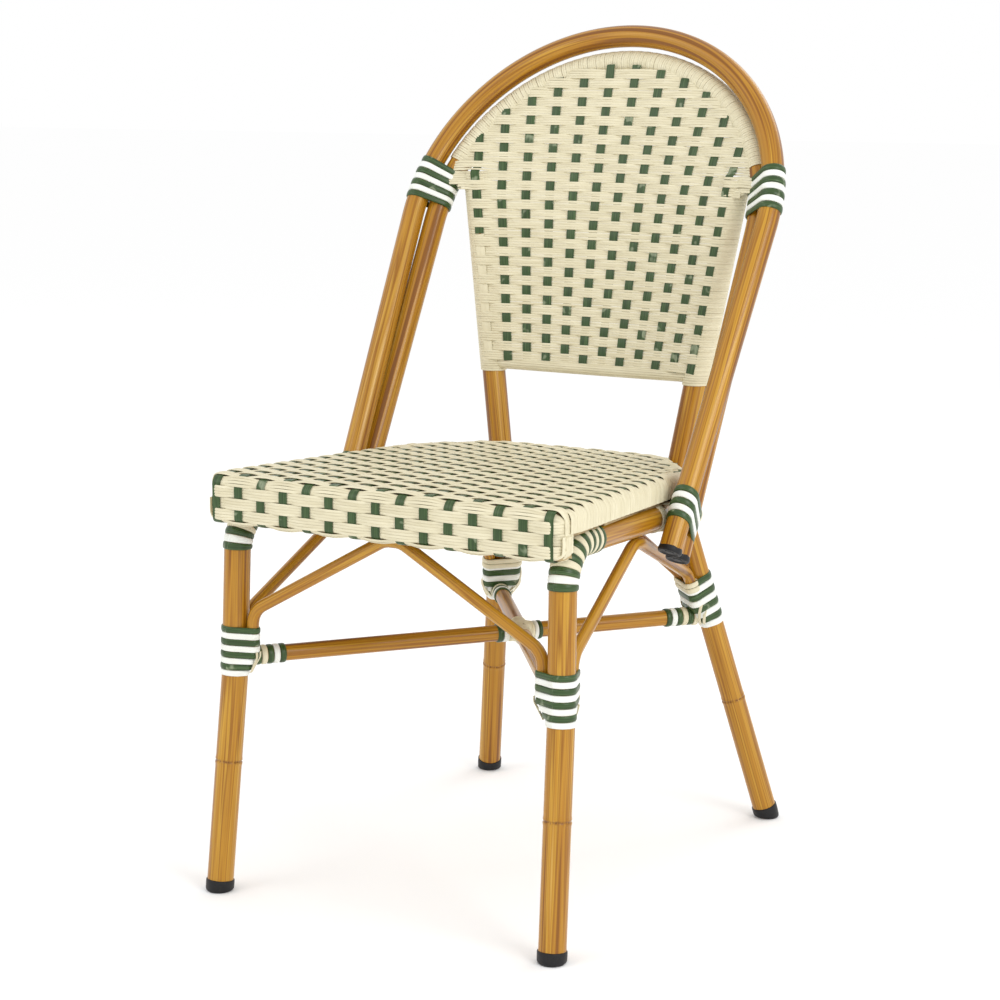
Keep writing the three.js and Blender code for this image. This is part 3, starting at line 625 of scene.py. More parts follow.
# section of a wound strip: shares of its width and of its thickness
RISING = [(0, 0), (0.02, 0.55), (0.12, 0.86), (0.32, 1)]
DOME = np.array([*RISING, (0.5, 1.03), *((1 - share, height) for share, height in RISING[::-1])])


def add_ring(pile, route, start, end, circles, colour, thickness=STRIP_THICKNESS, lift=0.0, tilt=0.0):
    """One turn of a strip round a tube and its neighbours, between two distances along the tube."""
    contour, ways = tight_contour(circles)
    shares, heights = DOME[:, 0], DOME[:, 1]
    lean = tilt * contour @ unit(np.array(circles[-1][:2]))
    stations = (start + (end - start) * shares + lean[:, None]).ravel()
    places, _, normals, sides = route.at(stations)
    places, normals, sides = (a.reshape(len(contour), len(shares), 3) for a in (places, normals, sides))
    out = contour[:, None] + ways[:, None] * (lift + heights[:, None] * thickness)
    grid = places + normals * out[..., :1] + sides * out[..., 1:]
    # the inner face joins the two edges, a little inside the tube
    edges, bottom = slice(None, None, len(shares) - 1), contour[:, None] - ways[:, None] * 0.3 * MM
    under = places[:, edges] + normals[:, edges] * bottom[..., :1] + sides[:, edges] * bottom[..., 1:]
    grid = np.concatenate([grid, under[:, ::-1]], axis=1)
    grain = np.zeros((*grid.shape[:2], 3))
    grain[:, : len(shares), 0] = (shares - 0.5) * (end - start) / MM
    perimeter = np.cumsum(np.linalg.norm(np.diff(contour, axis=0, prepend=contour[:1]), axis=1))
    grain[..., 1] = perimeter[:, None] / MM
    grain[..., 2] = random.uniform(0, 50)
    pile.add(grid, CANE_SLOT[colour], grain, random.uniform(0.2, 0.7), closed=True)


def circles_on(route, distance, radius, neighbours):
    """The tubes cut by the plane square to a route: its own circle and those of its neighbours."""
    places, tangents, normals, sides = route.at(distance)
    circles = [(0.0, 0.0, radius)]
    for other, own in neighbours:
        away = other.crossing(places[0], tangents[0]) - places[0]
        circles.append((away @ normals[0], away @ sides[0], own))
    return circles


def add_winding(pile, route, start, end, colours, radius, neighbours=(), gap=0.35 * MM, tilt=0.0):
    """Strips side by side from one distance along a tube to another, one colour letter a strip."""
    width = (end - start) / len(colours)
    circles = circles_on(route, (start + end) / 2, radius, neighbours)
    for k, colour in enumerate(colours):
        low = start + width * k
        add_ring(pile, route, low + gap / 2, low + width - gap / 2, circles, colour, tilt=tilt)


def box_middle(node):
    return middle(np.array(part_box(node)))


def build_hoop_bindings():
    """Green and white strips that hold the two hoops together, high up and at their feet."""
    for side, sign in SIDES.items():
        for node, colours, half, tilt in (
            (f"upper_binding_{side}", "gwgwgwg", 26 * MM, 0.0),
            (f"hoop_foot_binding_{side}", "gwgwg", 17.5 * MM, -0.35 * sign),
        ):
            at = outer_hoop.nearest(box_middle(node))
            both = [(inner_hoop, HOOP_R)]
            pile = Pile()
            add_winding(pile, outer_hoop, at - half, at + half, colours, HOOP_R, both, tilt=tilt)
            pile.build(f"{node}_strips", CANES, "cane", [node])


def leg_binding_span(place, side):
    """Where the strips start and end along a leg."""
    leg = legs[side][place]
    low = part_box(f"{place}_stretcher_tie_{side}")[0].z
    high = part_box(f"{place}_brace_binding_{side}")[1].z
    lift, rise = (2 * MM, 1 * MM) if place == "front" else (8 * MM, 8 * MM)
    return leg.where(2, low + lift), leg.where(2, high + rise)


def bound_circles(place, side, share):
    """The leg and the two brace ends that a strip goes round; the braces draw in where the share is low."""
    leg = legs[side][place]
    radius = LEG_R if place == "front" else REAR_R
    start, end = leg_binding_span(place, side)
    cross_brace = front_brace if place == "front" else rear_brace
    neighbours = [(cross_brace, BRACE_R), (legs[side]["side_brace"], BRACE_R)]
    circles = [(0.0, 0.0, radius)]
    for x, y, r in circles_on(leg, end - (end - start) * 0.3, radius, neighbours)[1:]:
        hidden = (radius - BRACE_R) / math.hypot(x, y)
        reach = share + (1 - share) * hidden
        circles.append((x * reach, y * reach, r))
    return circles


def brace_share(turns):
    """How fully a strip takes in the brace ends, by how many strips it is from the lower end."""
    return min(1.0, max(0.0, (turns + 0.3) / 3.6))


def build_leg_binding(place, side):
    """Strips round a leg: the upper ones take in both brace ends, the lower ones close in on the leg."""
    leg = legs[side][place]
    start, end = leg_binding_span(place, side)
    width = (end - start) / len(LEG_COLOURS)
    pile = Pile()
    for k, colour in enumerate(LEG_COLOURS):
        near = start + width * k
        circles = bound_circles(place, side, brace_share(k))
        add_ring(pile, leg, near + 0.15 * MM, near + width - 0.15 * MM, circles, colour)
    if place == "rear":
        braces = bound_circles(place, side, 1.0)[1:]
        for k in (1, 2):
            near = end - k * width * 0.8
            add_ring(pile, leg, near, near + width * 0.75, braces, "c", lift=0.9 * MM)
    nodes = [f"{place}_brace_binding_{side}", f"{place}_stretcher_tie_{side}"]
    pile.build(f"{place}_leg_binding_{side}_strips", CANES, "cane", nodes)


def stretcher_at(place, side):
    """The stretcher that meets a leg, and whether it starts there."""
    if (place, side) == ("front", "right"):
        return front_half, True
    if (place, side) == ("rear", "left"):
        return rear_half, True
    return long_stretcher, place == "front"


def build_stretcher_binding(place, side):
    """Rings on the end of a stretcher, and the cream tie that crosses onto the leg."""
    route, starts = stretcher_at(place, side)
    node = f"{place}_stretcher_binding_{side}"
    first, length = (5.5 if place == "front" else 6.5) * MM, 34 * MM
    start = first if starts else route.length - first - length
    pile = Pile()
    add_winding(pile, route, start, start + length, "gcgwg" if starts else "gwgcg", STRETCHER_R)
    add_tie(pile, place, side, route, starts)
    pile.build(f"{node}_strips", CANES, "cane", [node])


def add_tie(pile, place, side, route, starts):
    """Cream strips that climb from under the stretcher, over the leg's strips, on both sides of it."""
    leg = legs[side][place]
    places, tangents, _, _ = route.at(0.0 if starts else route.length)
    away = tangents[0] if starts else -tangents[0]
    level = leg.where(2, places[0][2])
    start, end = leg_binding_span(place, side)
    foot, head, spread = (-13, 10, (38, 44)) if place == "front" else (-3, 34, (30, 66))
    stations = np.linspace(level + foot * MM, level + head * MM, 26)
    centres, axes, normals, sides = leg.at(stations)
    width = (end - start) / len(LEG_COLOURS)
    hulls = [bound_circles(place, side, brace_share((s - start) / width)) for s in stations]
    flat = away - axes * (axes @ away)[:, None]
    ahead = np.arctan2(np.sum(flat * sides, axis=1), np.sum(flat * normals, axis=1))
    for sign in (1, -1):
        for strip in range(2):
            heading = ahead + np.radians(np.linspace(*spread, len(stations)) + 13 * strip) * sign
            ways = np.stack([np.cos(heading), np.sin(heading)], axis=1)
            reach = [max(polar_reach(way, c) for c in hull) for way, hull in zip(ways, hulls)]
            reach = np.convolve(np.pad(reach, 2, mode="edge"), np.ones(5) / 5, "valid")
            out = normals * ways[:, :1] + sides * ways[:, 1:]
            path = centres + out * (reach + STRIP_THICKNESS + 0.7 * MM)[:, None]
            add_strand(pile, path, out, 3.4 * MM, THIN_STRIP, CANE_SLOT["c"])
    collar = 0.6 * MM if starts else route.length - 6.2 * MM
    add_ring(pile, route, collar, collar + 5.6 * MM, [(0.0, 0.0, STRETCHER_R + 0.8 * MM)], "c")


def polar_reach(way, circle):
    """How far a circle reaches out from the origin in one direction, or 0 where it is missed."""
    x, y, radius = circle
    along, aside = way @ np.array([x, y]), way @ np.array([-y, x])
    return along + math.sqrt(radius**2 - aside**2) if abs(aside) < radius else 0.0


def build_corner_binding(side):
    """Strips round the bend where a front leg turns into the side rail, fanned over its outside."""
    leg = legs[side]["front"]
    node = f"front_corner_binding_{side}"
    low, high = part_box(node)
    start = leg.where(2, low.z + 2 * MM)
    end = leg.nearest(np.array([(low.x + high.x) / 2, high.y, high.z - LEG_R - 2.5 * MM]))
    pile = Pile()
    add_winding(pile, leg, start, end, "gwgcgcgcgcgcgcg", LEG_R, gap=0.2 * MM)
    pile.build(f"{node}_strips", CANES, "cane", [node])


def build_crossing_binding():
    """Rings beside the crossing of the stretchers, cream next to it, and a cream cross over it."""
    centre = long_stretcher.nearest(front_half.places[-1])
    crossing = long_stretcher.at(centre)[0][0]
    pile = Pile()
    for start, end, colours in ((8, 22.5, "cwg"), (-31, -10, "gwc")):
        add_winding(pile, long_stretcher, centre + start * MM, centre + end * MM, colours, STRETCHER_R)
    for half in (front_half, rear_half):
        end = half.length - 11 * MM
        add_winding(pile, half, end - 18.6 * MM, end, "ccc", STRETCHER_R)
    along = long_stretcher.tangents[len(long_stretcher.tangents) // 2]
    across = unit(front_half.places[-1] - front_half.places[0])
    up = np.array(UP)
    angles = spaced(56)
    rise = (STRETCHER_R + 2.2 * MM) * np.sign(np.sin(angles)) * np.abs(np.sin(angles)) ** 0.6
    for way in (unit(along + across), unit(along - across)):
        half_angle = math.acos(min(1.0, abs(float(way @ along))))
        far = 0.98 * (STRETCHER_R + 1.0 * MM) / math.sin(half_angle)
        out = unit(around(angles, 0.9 * way, up))
        loop = crossing + way * (far * np.cos(angles))[:, None] + up * rise[:, None]
        for offset in (-4.4, -1.5, 1.5, 4.4):
            path = loop + np.cross(up, way) * offset * MM
            add_strand(pile, path, out, 3.0 * MM, THIN_STRIP, CANE_SLOT["c"], closed=True)
    pile.build("crossing_binding_strips", CANES, "cream", ["crossing_binding"])


def build_rail_lashing(side):
    """Cream strips that tie the foot of the inner hoop to the side rail."""
    rail = legs[side]["front"]
    hoop_place = inner_hoop.at(inner_hoop.nearest(box_middle(f"hoop_foot_binding_{side}")))[0][0]
    at = rail.nearest(hoop_place)
    pile = Pile()
    for k in range(-3, 1):
        start = at + (k * 3.4 - 9) * MM
        add_ring(pile, rail, start, start + 3.2 * MM, [(0.0, 0.0, LEG_R)], "c", THIN_STRIP)
    places, tangents, normals, sides = rail.at(at)
    away = hoop_place - places[0]
    away = away - tangents[0] * (away @ tangents[0])
    circles = [(0.0, 0.0, LEG_R), (away @ normals[0], away @ sides[0], HOOP_R)]
    for k in range(4):
        start = at + (k * 3.3 - 8) * MM
        add_ring(pile, rail, start, start + 3.1 * MM, circles, "c", THIN_STRIP, lift=0.4 * MM, tilt=0.25)
    pile.build(f"rail_lashing_{side}", CANES, "cream")


def build_bindings():
    build_hoop_bindings()
    for side in SIDES:
        for place in ("front", "rear"):
            build_leg_binding(place, side)
            build_stretcher_binding(place, side)
        build_corner_binding(side)
        build_rail_lashing(side)
    build_crossing_binding()


# ---------- woven back ----------
def tree_of(node):
    corners, triangles = cad_mesh(node)
    return BVHTree.FromPolygons(corners.tolist(), triangles.tolist())


def hit(tree, start, way):
    place = tree.ray_cast(Vector(start), Vector(way))[0]
    return None if place is None else np.array(place)


class BackPanel:
    """The hollow sheet of the back, between the uprights and the hoop, as depth over width and height."""

    def __init__(self):
        self.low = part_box("woven_back")[0].z
        self.upright = legs["right"]["rear"]
        self.upright_top = self.upright.places[-1][2]
        self.joint = self.upright_top - PANEL_JOINT_DROP
        self.top = inner_hoop.places[:, 2].max()
        self.run_in = 34 * MM  # how gently the sheet follows the edge from the upright to the hoop
        tree = tree_of("woven_back")
        heights = np.linspace(self.low + 22 * MM, self.top - 16 * MM, 30)
        faces = [(hit(tree, (0, -1, z), REARWARD), hit(tree, (0, 1, z), FORWARD)) for z in heights]
        depths = [(ahead[1] + behind[1]) / 2 for ahead, behind in faces]
        self.centre = np.polynomial.Polynomial.fit(heights, depths, 5)
        right = inner_hoop.places[inner_hoop.places[:, 0] >= 0]
        self.hoop = right[np.argsort(right[:, 2])]
        self.beside = self.upright.places[self.upright.places[:, 2] > self.low - 60 * MM]

    def upright_at(self, z):
        return along_height(self.beside, z)

    def tube(self, z, room=5 * MM):
        """Centre of the tube at the panel's right edge: half the width, and depth. The edge passes from
        the upright to the hoop over some room."""
        z = np.asarray(z, float)
        low, high = self.upright_at(z), along_height(self.hoop, z)
        share = smoothstep((z - self.joint) / room * 0.5 + 0.5)
        return tuple(a + (b - a) * share for a, b in zip(low, high))

    def edge(self, z, room=5 * MM):
        """Half the width of the sheet and its depth there."""
        x, y = self.tube(z, room)
        return x, y - np.where(np.asarray(z) < self.joint, REAR_R, HOOP_R) - STRAND_THICKNESS * 0.8

    def depth(self, x, z):
        """Depth of the sheet, which bulges forward over the tops of the uprights."""
        half, edge = self.edge(z, self.run_in)
        centre = self.centre(z)
        sheet = centre + (edge - centre) * (x / np.maximum(half, 20 * MM)) ** 2
        tube_x, tube_y = self.upright_at(z)
        reach = REAR_R + STRAND_THICKNESS
        off = np.minimum(np.abs(np.abs(x) - tube_x) / reach, 1)
        proud = sheet - (tube_y - reach * np.sqrt(1 - off**2))
        fade_out = smoothstep((self.upright_top + 9 * MM - z) / (7 * MM))
        fade_in = smoothstep((z - self.joint + 6 * MM) / (5 * MM))
        return sheet - np.maximum(proud, 0) * fade_out * fade_in * (off < 1)

    def place(self, x, z, height=0.0):
        """A point of the sheet, standing this far off its front, and the sheet's normal there."""
        x, z = np.broadcast_arrays(np.asarray(x, float), np.asarray(z, float))
        step = 1 * MM
        y = self.depth(x, z)
        slope_x = (self.depth(x + step, z) - self.depth(x - step, z)) / (2 * step)
        slope_z = (self.depth(x, z + step) - self.depth(x, z - step)) / (2 * step)
        normal = unit(np.stack([slope_x, -np.ones_like(y), slope_z], axis=-1))
        base = np.stack([x, y, z], axis=-1)
        return base + normal * np.asarray(height)[..., None], normal

    def rows(self):
        """Heights of the rows of the weave."""
        z = self.low + 20.5 * MM
        levels = []
        while z < self.top - 4 * MM:
            levels.append(z)
            slope = (self.centre(z + MM) - self.centre(z - MM)) / (2 * MM)
            z += BACK_ROW / math.sqrt(1 + slope**2)
        return levels


def along_height(line, z):
    """Sideways place and depth of a line at heights."""
    return np.interp(z, line[:, 2], line[:, 0]), np.interp(z, line[:, 2], line[:, 1])


def fan(z, panel):
    return 1 + BACK_FAN * (z - panel.low - 8 * MM) / (panel.joint - panel.low)


def over_under(x, stakes, first_over, depth, flat):
    """Height of a strand across stakes, over one and under the next, flat over each of them."""
    knots = (np.asarray(stakes)[:, None] + np.array([-flat / 2, flat / 2])).ravel()
    values = np.repeat(1.0 - 2 * ((np.arange(len(stakes)) + first_over) % 2), 2)
    index = np.clip(np.searchsorted(knots, x), 1, len(knots) - 1)
    share = smoothstep((x - knots[index - 1]) / np.maximum(knots[index] - knots[index - 1], 1e-9))
    return depth * (values[index - 1] + (values[index] - values[index - 1]) * share)


def wrap_round(tube, level, degrees, sign):
    """Points round a tube in a level plane, from its front, over its outer side, to its back."""
    angles = np.radians(degrees)
    out = np.stack([sign * np.cos(angles), np.sin(angles), np.zeros_like(angles)], axis=1)
    centre = np.array([sign * tube[0], tube[1], level])
    return centre + (REAR_R + STRAND_THICKNESS * 0.8) * out, out


def add_back_row(pile, panel, row, z, wrapped):
    """The strands of one row: across the sheet, over and under the stakes, and round both tubes."""
    half = float(panel.edge(z)[0])
    pitch = BACK_PITCH * fan(z, panel)
    stakes = centred(BACK_STAKES) * pitch
    stakes = stakes[np.abs(stakes) < half + 2 * MM]
    first = row + int(round(stakes[0] / pitch + (BACK_STAKES - 1) / 2))
    for offset in centred(STRANDS) * STRAND_WIDTH:
        level = z + offset + jitter(0.12)
        stop = half - (1.5 if wrapped else 2) * MM
        x = np.arange(-stop, stop + 1e-9, 2 * stop / max(8, round(2 * stop / STRAND_STEP)))
        height = over_under(x, stakes, first, WEAVE_DEPTH, BACK_STAKE_WIDTH * 0.8)
        height = height * smoothstep((half - np.abs(x)) / (3 * MM)) + jitter(0.08)
        if not wrapped:
            height = height - 1.8 * MM * smoothstep((np.abs(x) - half + 9 * MM) / (7 * MM))
        places, normals = panel.place(x, level, height)
        if wrapped:
            turn = np.arange(-78, 207, 12)
            right, out_right = wrap_round(panel.tube(level), level, turn, 1)
            left, out_left = wrap_round(panel.tube(level), level, turn, -1)
            places = np.vstack([left[::-1], places, right])
            normals = np.vstack([out_left[::-1], normals, out_right])
        add_strand(pile, places, normals, STRAND_WIDTH * 1.03, STRAND_THICKNESS)


def add_back_stakes(pile, panel, levels):
    """The stakes of the back, all green but for a cream stretch low on the first."""
    for i, base in enumerate(centred(BACK_STAKES) * BACK_PITCH):
        pale = (panel.low + 24 * MM, panel.low + 160 * MM) if i == 0 else (1.0, 1.0)
        end = panel.top + MM
        for bottom, top, slot in ((panel.low + 15 * MM, pale[0], 0), (*pale, 1), (pale[1], end, 0)):
            z = np.arange(bottom, min(top, end), 3 * MM)
            x = base * fan(z, panel)
            inside = np.abs(x) < panel.edge(z)[0] - 3 * MM
            z, x = z[inside], x[inside]
            if len(z) >= 4:
                heights = over_under(z, levels, i + 1, STAKE_DEPTH, BACK_ROW * 0.5)
                places, normals = panel.place(x, z, heights)
                add_strand(pile, places, normals, BACK_STAKE_WIDTH, STAKE_THICKNESS, slot, tint=0.4)


def add_hoop_winding(pile, panel):
    """Turns of strand round the inner hoop, in groups of four, along the edge of the arch."""
    start = inner_hoop.where(2, panel.joint + 24 * MM)
    end = inner_hoop.length - start
    count = int((end - start) / STRAND_WIDTH)
    angles = spaced(22)
    for k in range(count):
        at = start + (end - start) * (k + 0.5) / count
        at += (0.22 * MM if k % STRANDS == 0 else 0) + jitter(0.1)
        places, _, normals, sides = inner_hoop.at(at)
        out = around(angles, normals[0], sides[0])
        bulge = 0.35 * MM * math.sin(math.pi * (k % STRANDS + 0.5) / STRANDS)
        reach = HOOP_R + STRAND_THICKNESS * 0.5 + bulge
        add_strand(pile, places[0] + out * reach, out, STRAND_WIDTH, STRAND_THICKNESS, closed=True, count=6)


def add_bottom_roll(pile, panel):
    """Strands laid lengthwise round the bar in the lower edge, and turns round both ends of the uprights."""
    radius = BAR_R + STRAND_THICKNESS * 0.5
    turns = int(2 * math.pi * radius / (STRAND_WIDTH * 0.97))
    places, _, normals, sides = bottom_bar.at(np.linspace(-6 * MM, bottom_bar.length + 6 * MM, 60))
    for angle in spaced(turns):
        out = math.cos(angle) * normals + math.sin(angle) * sides
        add_strand(pile, places + out * radius, out, STRAND_WIDTH, STRAND_THICKNESS)
    low, top = panel.low, panel.upright_top
    below = np.arange(low + 3 * MM, low + 15 * MM, STRAND_WIDTH)
    above = np.arange(top - 15 * MM, top - 1 * MM, STRAND_WIDTH)
    for level in np.concatenate([below, above]):
        for sign in (1, -1):
            points, out = wrap_round(panel.upright_at(level), level, np.arange(0, 360, 15), sign)
            add_strand(pile, points, out, STRAND_WIDTH, STRAND_THICKNESS, closed=True)


def build_back():
    panel = BackPanel()
    levels = panel.rows()
    lower, upper, edging, stakes = Pile(), Pile(), Pile(), Pile()
    for row, z in enumerate(levels):
        wrapped = z < panel.joint
        add_back_row(lower if wrapped else upper, panel, row, z, wrapped)
    add_hoop_winding(edging, panel)
    add_bottom_roll(edging, panel)
    add_back_stakes(stakes, panel, levels)
    lower.build("back_weave_lower", [CREAM], "cream", ["woven_back"])
    upper.build("back_weave_upper", [CREAM], "cream")
    edging.build("back_weave_edging", [CREAM], "cream")
    stakes.build("back_stakes", [GREEN, CREAM], "cane")


# ---------- woven seat ----------
class SeatPad:
    """The outside of the pad: a spine from under the front edge, up, over the top and down behind."""

    def __init__(self):
        low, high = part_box("woven_seat")
        tree = tree_of("woven_seat")
        inset = STRAND_THICKNESS * 0.7
        self.front, self.rear = low.y + inset, high.y - inset
        self.bottom = low.z + inset
        self.centre = np.array([0, -40 * MM, high.z - 20 * MM])
        outline = []
        for angle in np.radians(np.arange(-180, 180.1, 1.0)):
            way = np.array([math.sin(angle), -math.cos(angle), 0.0])
            starts = [self.centre + way - np.array([0, 0, drop]) for drop in (0, 3 * MM)]
            found = [place for place in (hit(tree, start, -way) for start in starts) if place is not None]
            outline.append(max(found, key=lambda place: np.linalg.norm(place - self.centre))[:2])
        outline = np.array(outline)
        smooth = (np.roll(outline, 1, axis=0) + outline + np.roll(outline, -1, axis=0)) / 3
        self.outline = smooth - unit(smooth - self.centre[:2]) * inset
        side = self.outline[(self.outline[:, 0] > 0) & (self.outline[:, 1] > self.front + SEAT_ROUND)]
        self.side = side[np.argsort(side[:, 1])]
        inside = (self.front + 40 * MM, self.rear - 40 * MM)
        top_front, top_rear = (hit(tree, (0, y, 1), DOWN) for y in inside)
        self.slope = (top_rear[2] - top_front[2]) / (top_rear[1] - top_front[1])
        self.level = top_front[2] - self.slope * top_front[1] - inset
        self.thickness = 34 * MM - 2 * inset
        self.spine = self.make_spine()

    def top(self, y):
        return self.level + self.slope * y

    def make_spine(self):
        """The middle line, as a route in the plane between left and right, with rounded corners."""
        rear_bottom = self.top(self.rear) - self.thickness
        corners = [
            (self.front + 25 * MM, self.bottom, 0),
            (self.front, self.bottom, 6 * MM),
            (self.front, self.top(self.front), SEAT_EDGE),
            (self.rear, self.top(self.rear), SEAT_EDGE),
            (self.rear, rear_bottom, 5 * MM),
            (self.rear - 22 * MM, rear_bottom, 0),
        ]
        points = [np.array([0, y, z]) for y, z, _ in corners]
        places, directions = [points[0]], [unit(points[1] - points[0])]
        for before, corner, after, (_, _, radius) in zip(points, points[1:], points[2:], corners[1:]):
            into, out = unit(corner - before), unit(after - corner)
            half_turn = math.acos(np.clip(into @ out, -1, 1)) / 2
            reach = radius * math.tan(half_turn)
            inner = corner + unit(out - into) * (reach / math.cos(half_turn) - radius)
            places += [corner - into * reach, inner, corner + out * reach]
            directions += [into, unit(into + out), out]
        places, directions = np.array([*places, points[-1]]), np.array([*directions, directions[-1]])
        return Route(places, directions, spacing=0.8 * MM)

    def half_width(self, y):
        return float(np.interp(min(y, self.rear - 8 * MM), self.side[:, 1], self.side[:, 0]))

    def station(self, distance):
        """Place and outward direction of the spine at a distance along it."""
        places, tangents, _, _ = self.spine.at(distance)
        outward = np.stack([np.zeros(len(places)), -tangents[:, 2], tangents[:, 1]], axis=1)
        return places, outward


def row_profile(half, edge, drop):
    """Half the section of the pad under one row, as a line from the middle to below the edge:
    sideways place, depth below the face, and direction outward."""
    flat = np.arange(0, half - edge, STRAND_STEP)
    turn = quarter_turn(0, 8)
    down = np.arange(2.5 * MM, max(drop, 3 * MM), 5 * MM)
    x = np.concatenate([flat, half - edge + edge * np.sin(turn), np.full(len(down), half)])
    depth = np.concatenate([np.zeros(len(flat)), edge * (1 - np.cos(turn)), edge + down])
    lean = np.concatenate([np.zeros(len(flat)), turn, np.full(len(down), math.pi / 2)])
    return x, depth, lean


def crown(x, half, y, pad):
    """The pad is a little fuller in the middle."""
    across = np.clip(1 - (x / half) ** 2, 0, 1)
    along = math.sin(math.pi * np.clip((y - pad.front) / (pad.rear - pad.front), 0, 1))
    return 3 * MM * across * max(along, 0) ** 0.7


def seat_fan(y, pad):
    """How wide the stakes stand, as a share of their width in front: they follow the straight sides,
    and carry on past the rear corners."""
    near, far = pad.front + SEAT_FLAT, pad.front + 280 * MM
    a, b = pad.half_width(near), pad.half_width(far)
    return 1 + (b / a - 1) * (max(y, near) - near) / (far - near)


def add_seat_row(pile, pad, row, distance, rear_start):
    """The strands of one row: over the pad and, ahead of its rear corners, down both sides."""
    place, outward = (a[0] for a in pad.station(distance))
    y = float(np.clip(place[1], pad.front + SEAT_ROUND, pad.rear))
    half = pad.half_width(y)
    front_share = float(np.clip(-outward[1], 0, 1))  # 1 on the front face, 0 on top
    edge = SEAT_EDGE + 7 * MM * front_share
    drop = (26 * MM if front_share >= 0.5 else pad.thickness - 4 * MM) - edge
    stakes = centred(SEAT_STAKES) * SEAT_PITCH * seat_fan(y, pad)
    if y < rear_start:
        x, depth, lean = row_profile(half, edge, drop)
    else:
        x = np.arange(0, half - 9 * MM, STRAND_STEP)
        depth, lean = np.zeros(len(x)), np.zeros(len(x))
    x, lean = (np.concatenate([-a[:0:-1], a]) for a in (x, lean))
    depth = np.concatenate([depth[:0:-1], depth])
    aside = np.array(RIGHT)
    for offset in centred(STRANDS) * SEAT_ROW / STRANDS:
        spot, out = (a[0] for a in pad.station(distance + offset + jitter(0.12)))
        height = over_under(x, stakes, row, WEAVE_DEPTH, SEAT_STAKE_WIDTH * 0.8)
        height = height * smoothstep((half - 2 * MM - np.abs(x)) / (4 * MM))
        height = height + jitter(0.08)
        raised = crown(x, half, y, pad) if front_share < 0.3 else np.zeros(len(x))
        normals = np.sin(lean)[:, None] * aside + np.cos(lean)[:, None] * out
        places = spot + x[:, None] * aside + (raised - depth)[:, None] * out + normals * height[:, None]
        add_strand(pile, places, normals, SEAT_ROW / STRANDS * 1.02, STRAND_THICKNESS)


def add_seat_stakes(pile, pad, rows):
    """The green stakes, from under the front edge over the pad, each cut where it leaves the outline."""
    distances = np.arange(2 * MM, pad.spine.length - 2 * MM, 2.6 * MM)
    spots, outs = pad.station(distances)
    depths = spots[:, 1]
    spread = np.array([seat_fan(y, pad) for y in depths])
    half = np.array([pad.half_width(np.clip(y, pad.front + SEAT_ROUND, pad.rear)) for y in depths])
    for i, base in enumerate(centred(SEAT_STAKES) * SEAT_PITCH):
        x = base * spread
        outside = (np.abs(x) >= half - 7 * MM) & (depths > pad.front + 60 * MM)
        last = int(np.argmax(outside)) if outside.any() else len(outside)
        height = over_under(distances, rows, i + 1, STAKE_DEPTH, SEAT_ROW * 0.5)
        raised = [crown(a, h, y, pad) if o[1] > -0.3 else 0 for a, h, y, o in zip(x, half, depths, outs)]
        places = spots + np.array(RIGHT) * x[:, None] + outs * (height + raised)[:, None]
        add_strand(pile, places[:last], outs[:last], SEAT_STAKE_WIDTH, STAKE_THICKNESS, tint=0.4)


def add_seat_border(pile, pad, rear_start):
    """Strands over the edge of the pad round its rear corners and rear edge, square to the outline."""
    line = pad.outline[pad.outline[:, 1] > rear_start]
    line = line[np.argsort(np.arctan2(line[:, 0], line[:, 1] - pad.centre[1]))]
    steps = np.concatenate([[0], np.cumsum(np.linalg.norm(np.diff(line, axis=0), axis=1))])
    at = np.linspace(0, steps[-1], int(steps[-1] / STRAND_WIDTH))
    smooth = np.stack([np.interp(at, steps, line[:, k]) for k in (0, 1)], axis=1)
    for _ in range(12):
        smooth[1:-1] = (smooth[:-2] + 2 * smooth[1:-1] + smooth[2:]) / 4
    tangents = unit(np.gradient(smooth, axis=0))
    outs = np.stack([-tangents[:, 1], tangents[:, 0]], axis=1)
    outs *= np.sign(np.sum(outs * (smooth - pad.centre[:2]), axis=1))[:, None]
    inner, under = 15 * MM, 5 * MM
    drop = pad.thickness - SEAT_EDGE - under
    turn, low_turn = quarter_turn(0, 8), quarter_turn(90, 5)
    over, side = SEAT_EDGE * (1 - np.sin(turn)), under * (1 - np.sin(low_turn))
    inward = [inner + 3 * MM, inner, inner - 4 * MM, *over, 0.0, *side, 14 * MM]
    fall, low_fall = SEAT_EDGE * (1 - np.cos(turn)), SEAT_EDGE + drop - under * np.cos(low_turn)
    depth = [1.0 * MM, 0.2 * MM, 0, *fall, SEAT_EDGE + drop / 2, *low_fall, pad.thickness]
    lean = np.array([0, 0, 0, *turn, math.pi / 2, *low_turn, math.pi])
    for spot, out in zip(smooth, outs):
        plan = spot + (STRAND_THICKNESS * 0.3 - np.array(inward))[:, None] * out
        places = np.column_stack([plan, pad.top(spot[1]) + 0.9 * MM - np.array(depth)])
        normals = np.column_stack([np.sin(lean)[:, None] * out, np.cos(lean)])
        add_strand(pile, places, normals, STRAND_WIDTH, STRAND_THICKNESS)


def build_core():
    """What the weave is wound on: the CAD pad, drawn in on every side to lie under the strands."""
    corners, triangles = cad_mesh("woven_seat")
    a, b, c = (corners[triangles[:, k]] for k in range(3))
    flats = unit(np.cross(b - a, c - a))
    normals = np.zeros_like(corners)
    for k in range(3):
        np.add.at(normals, triangles[:, k], flats)
    mesh = bpy.data.meshes.new("seat_core")
    mesh.from_pydata((corners - unit(normals) * 3.4 * MM).tolist(), [], triangles.tolist())
    mesh.materials.append(CORE)
    return add_piece("seat_core", mesh)


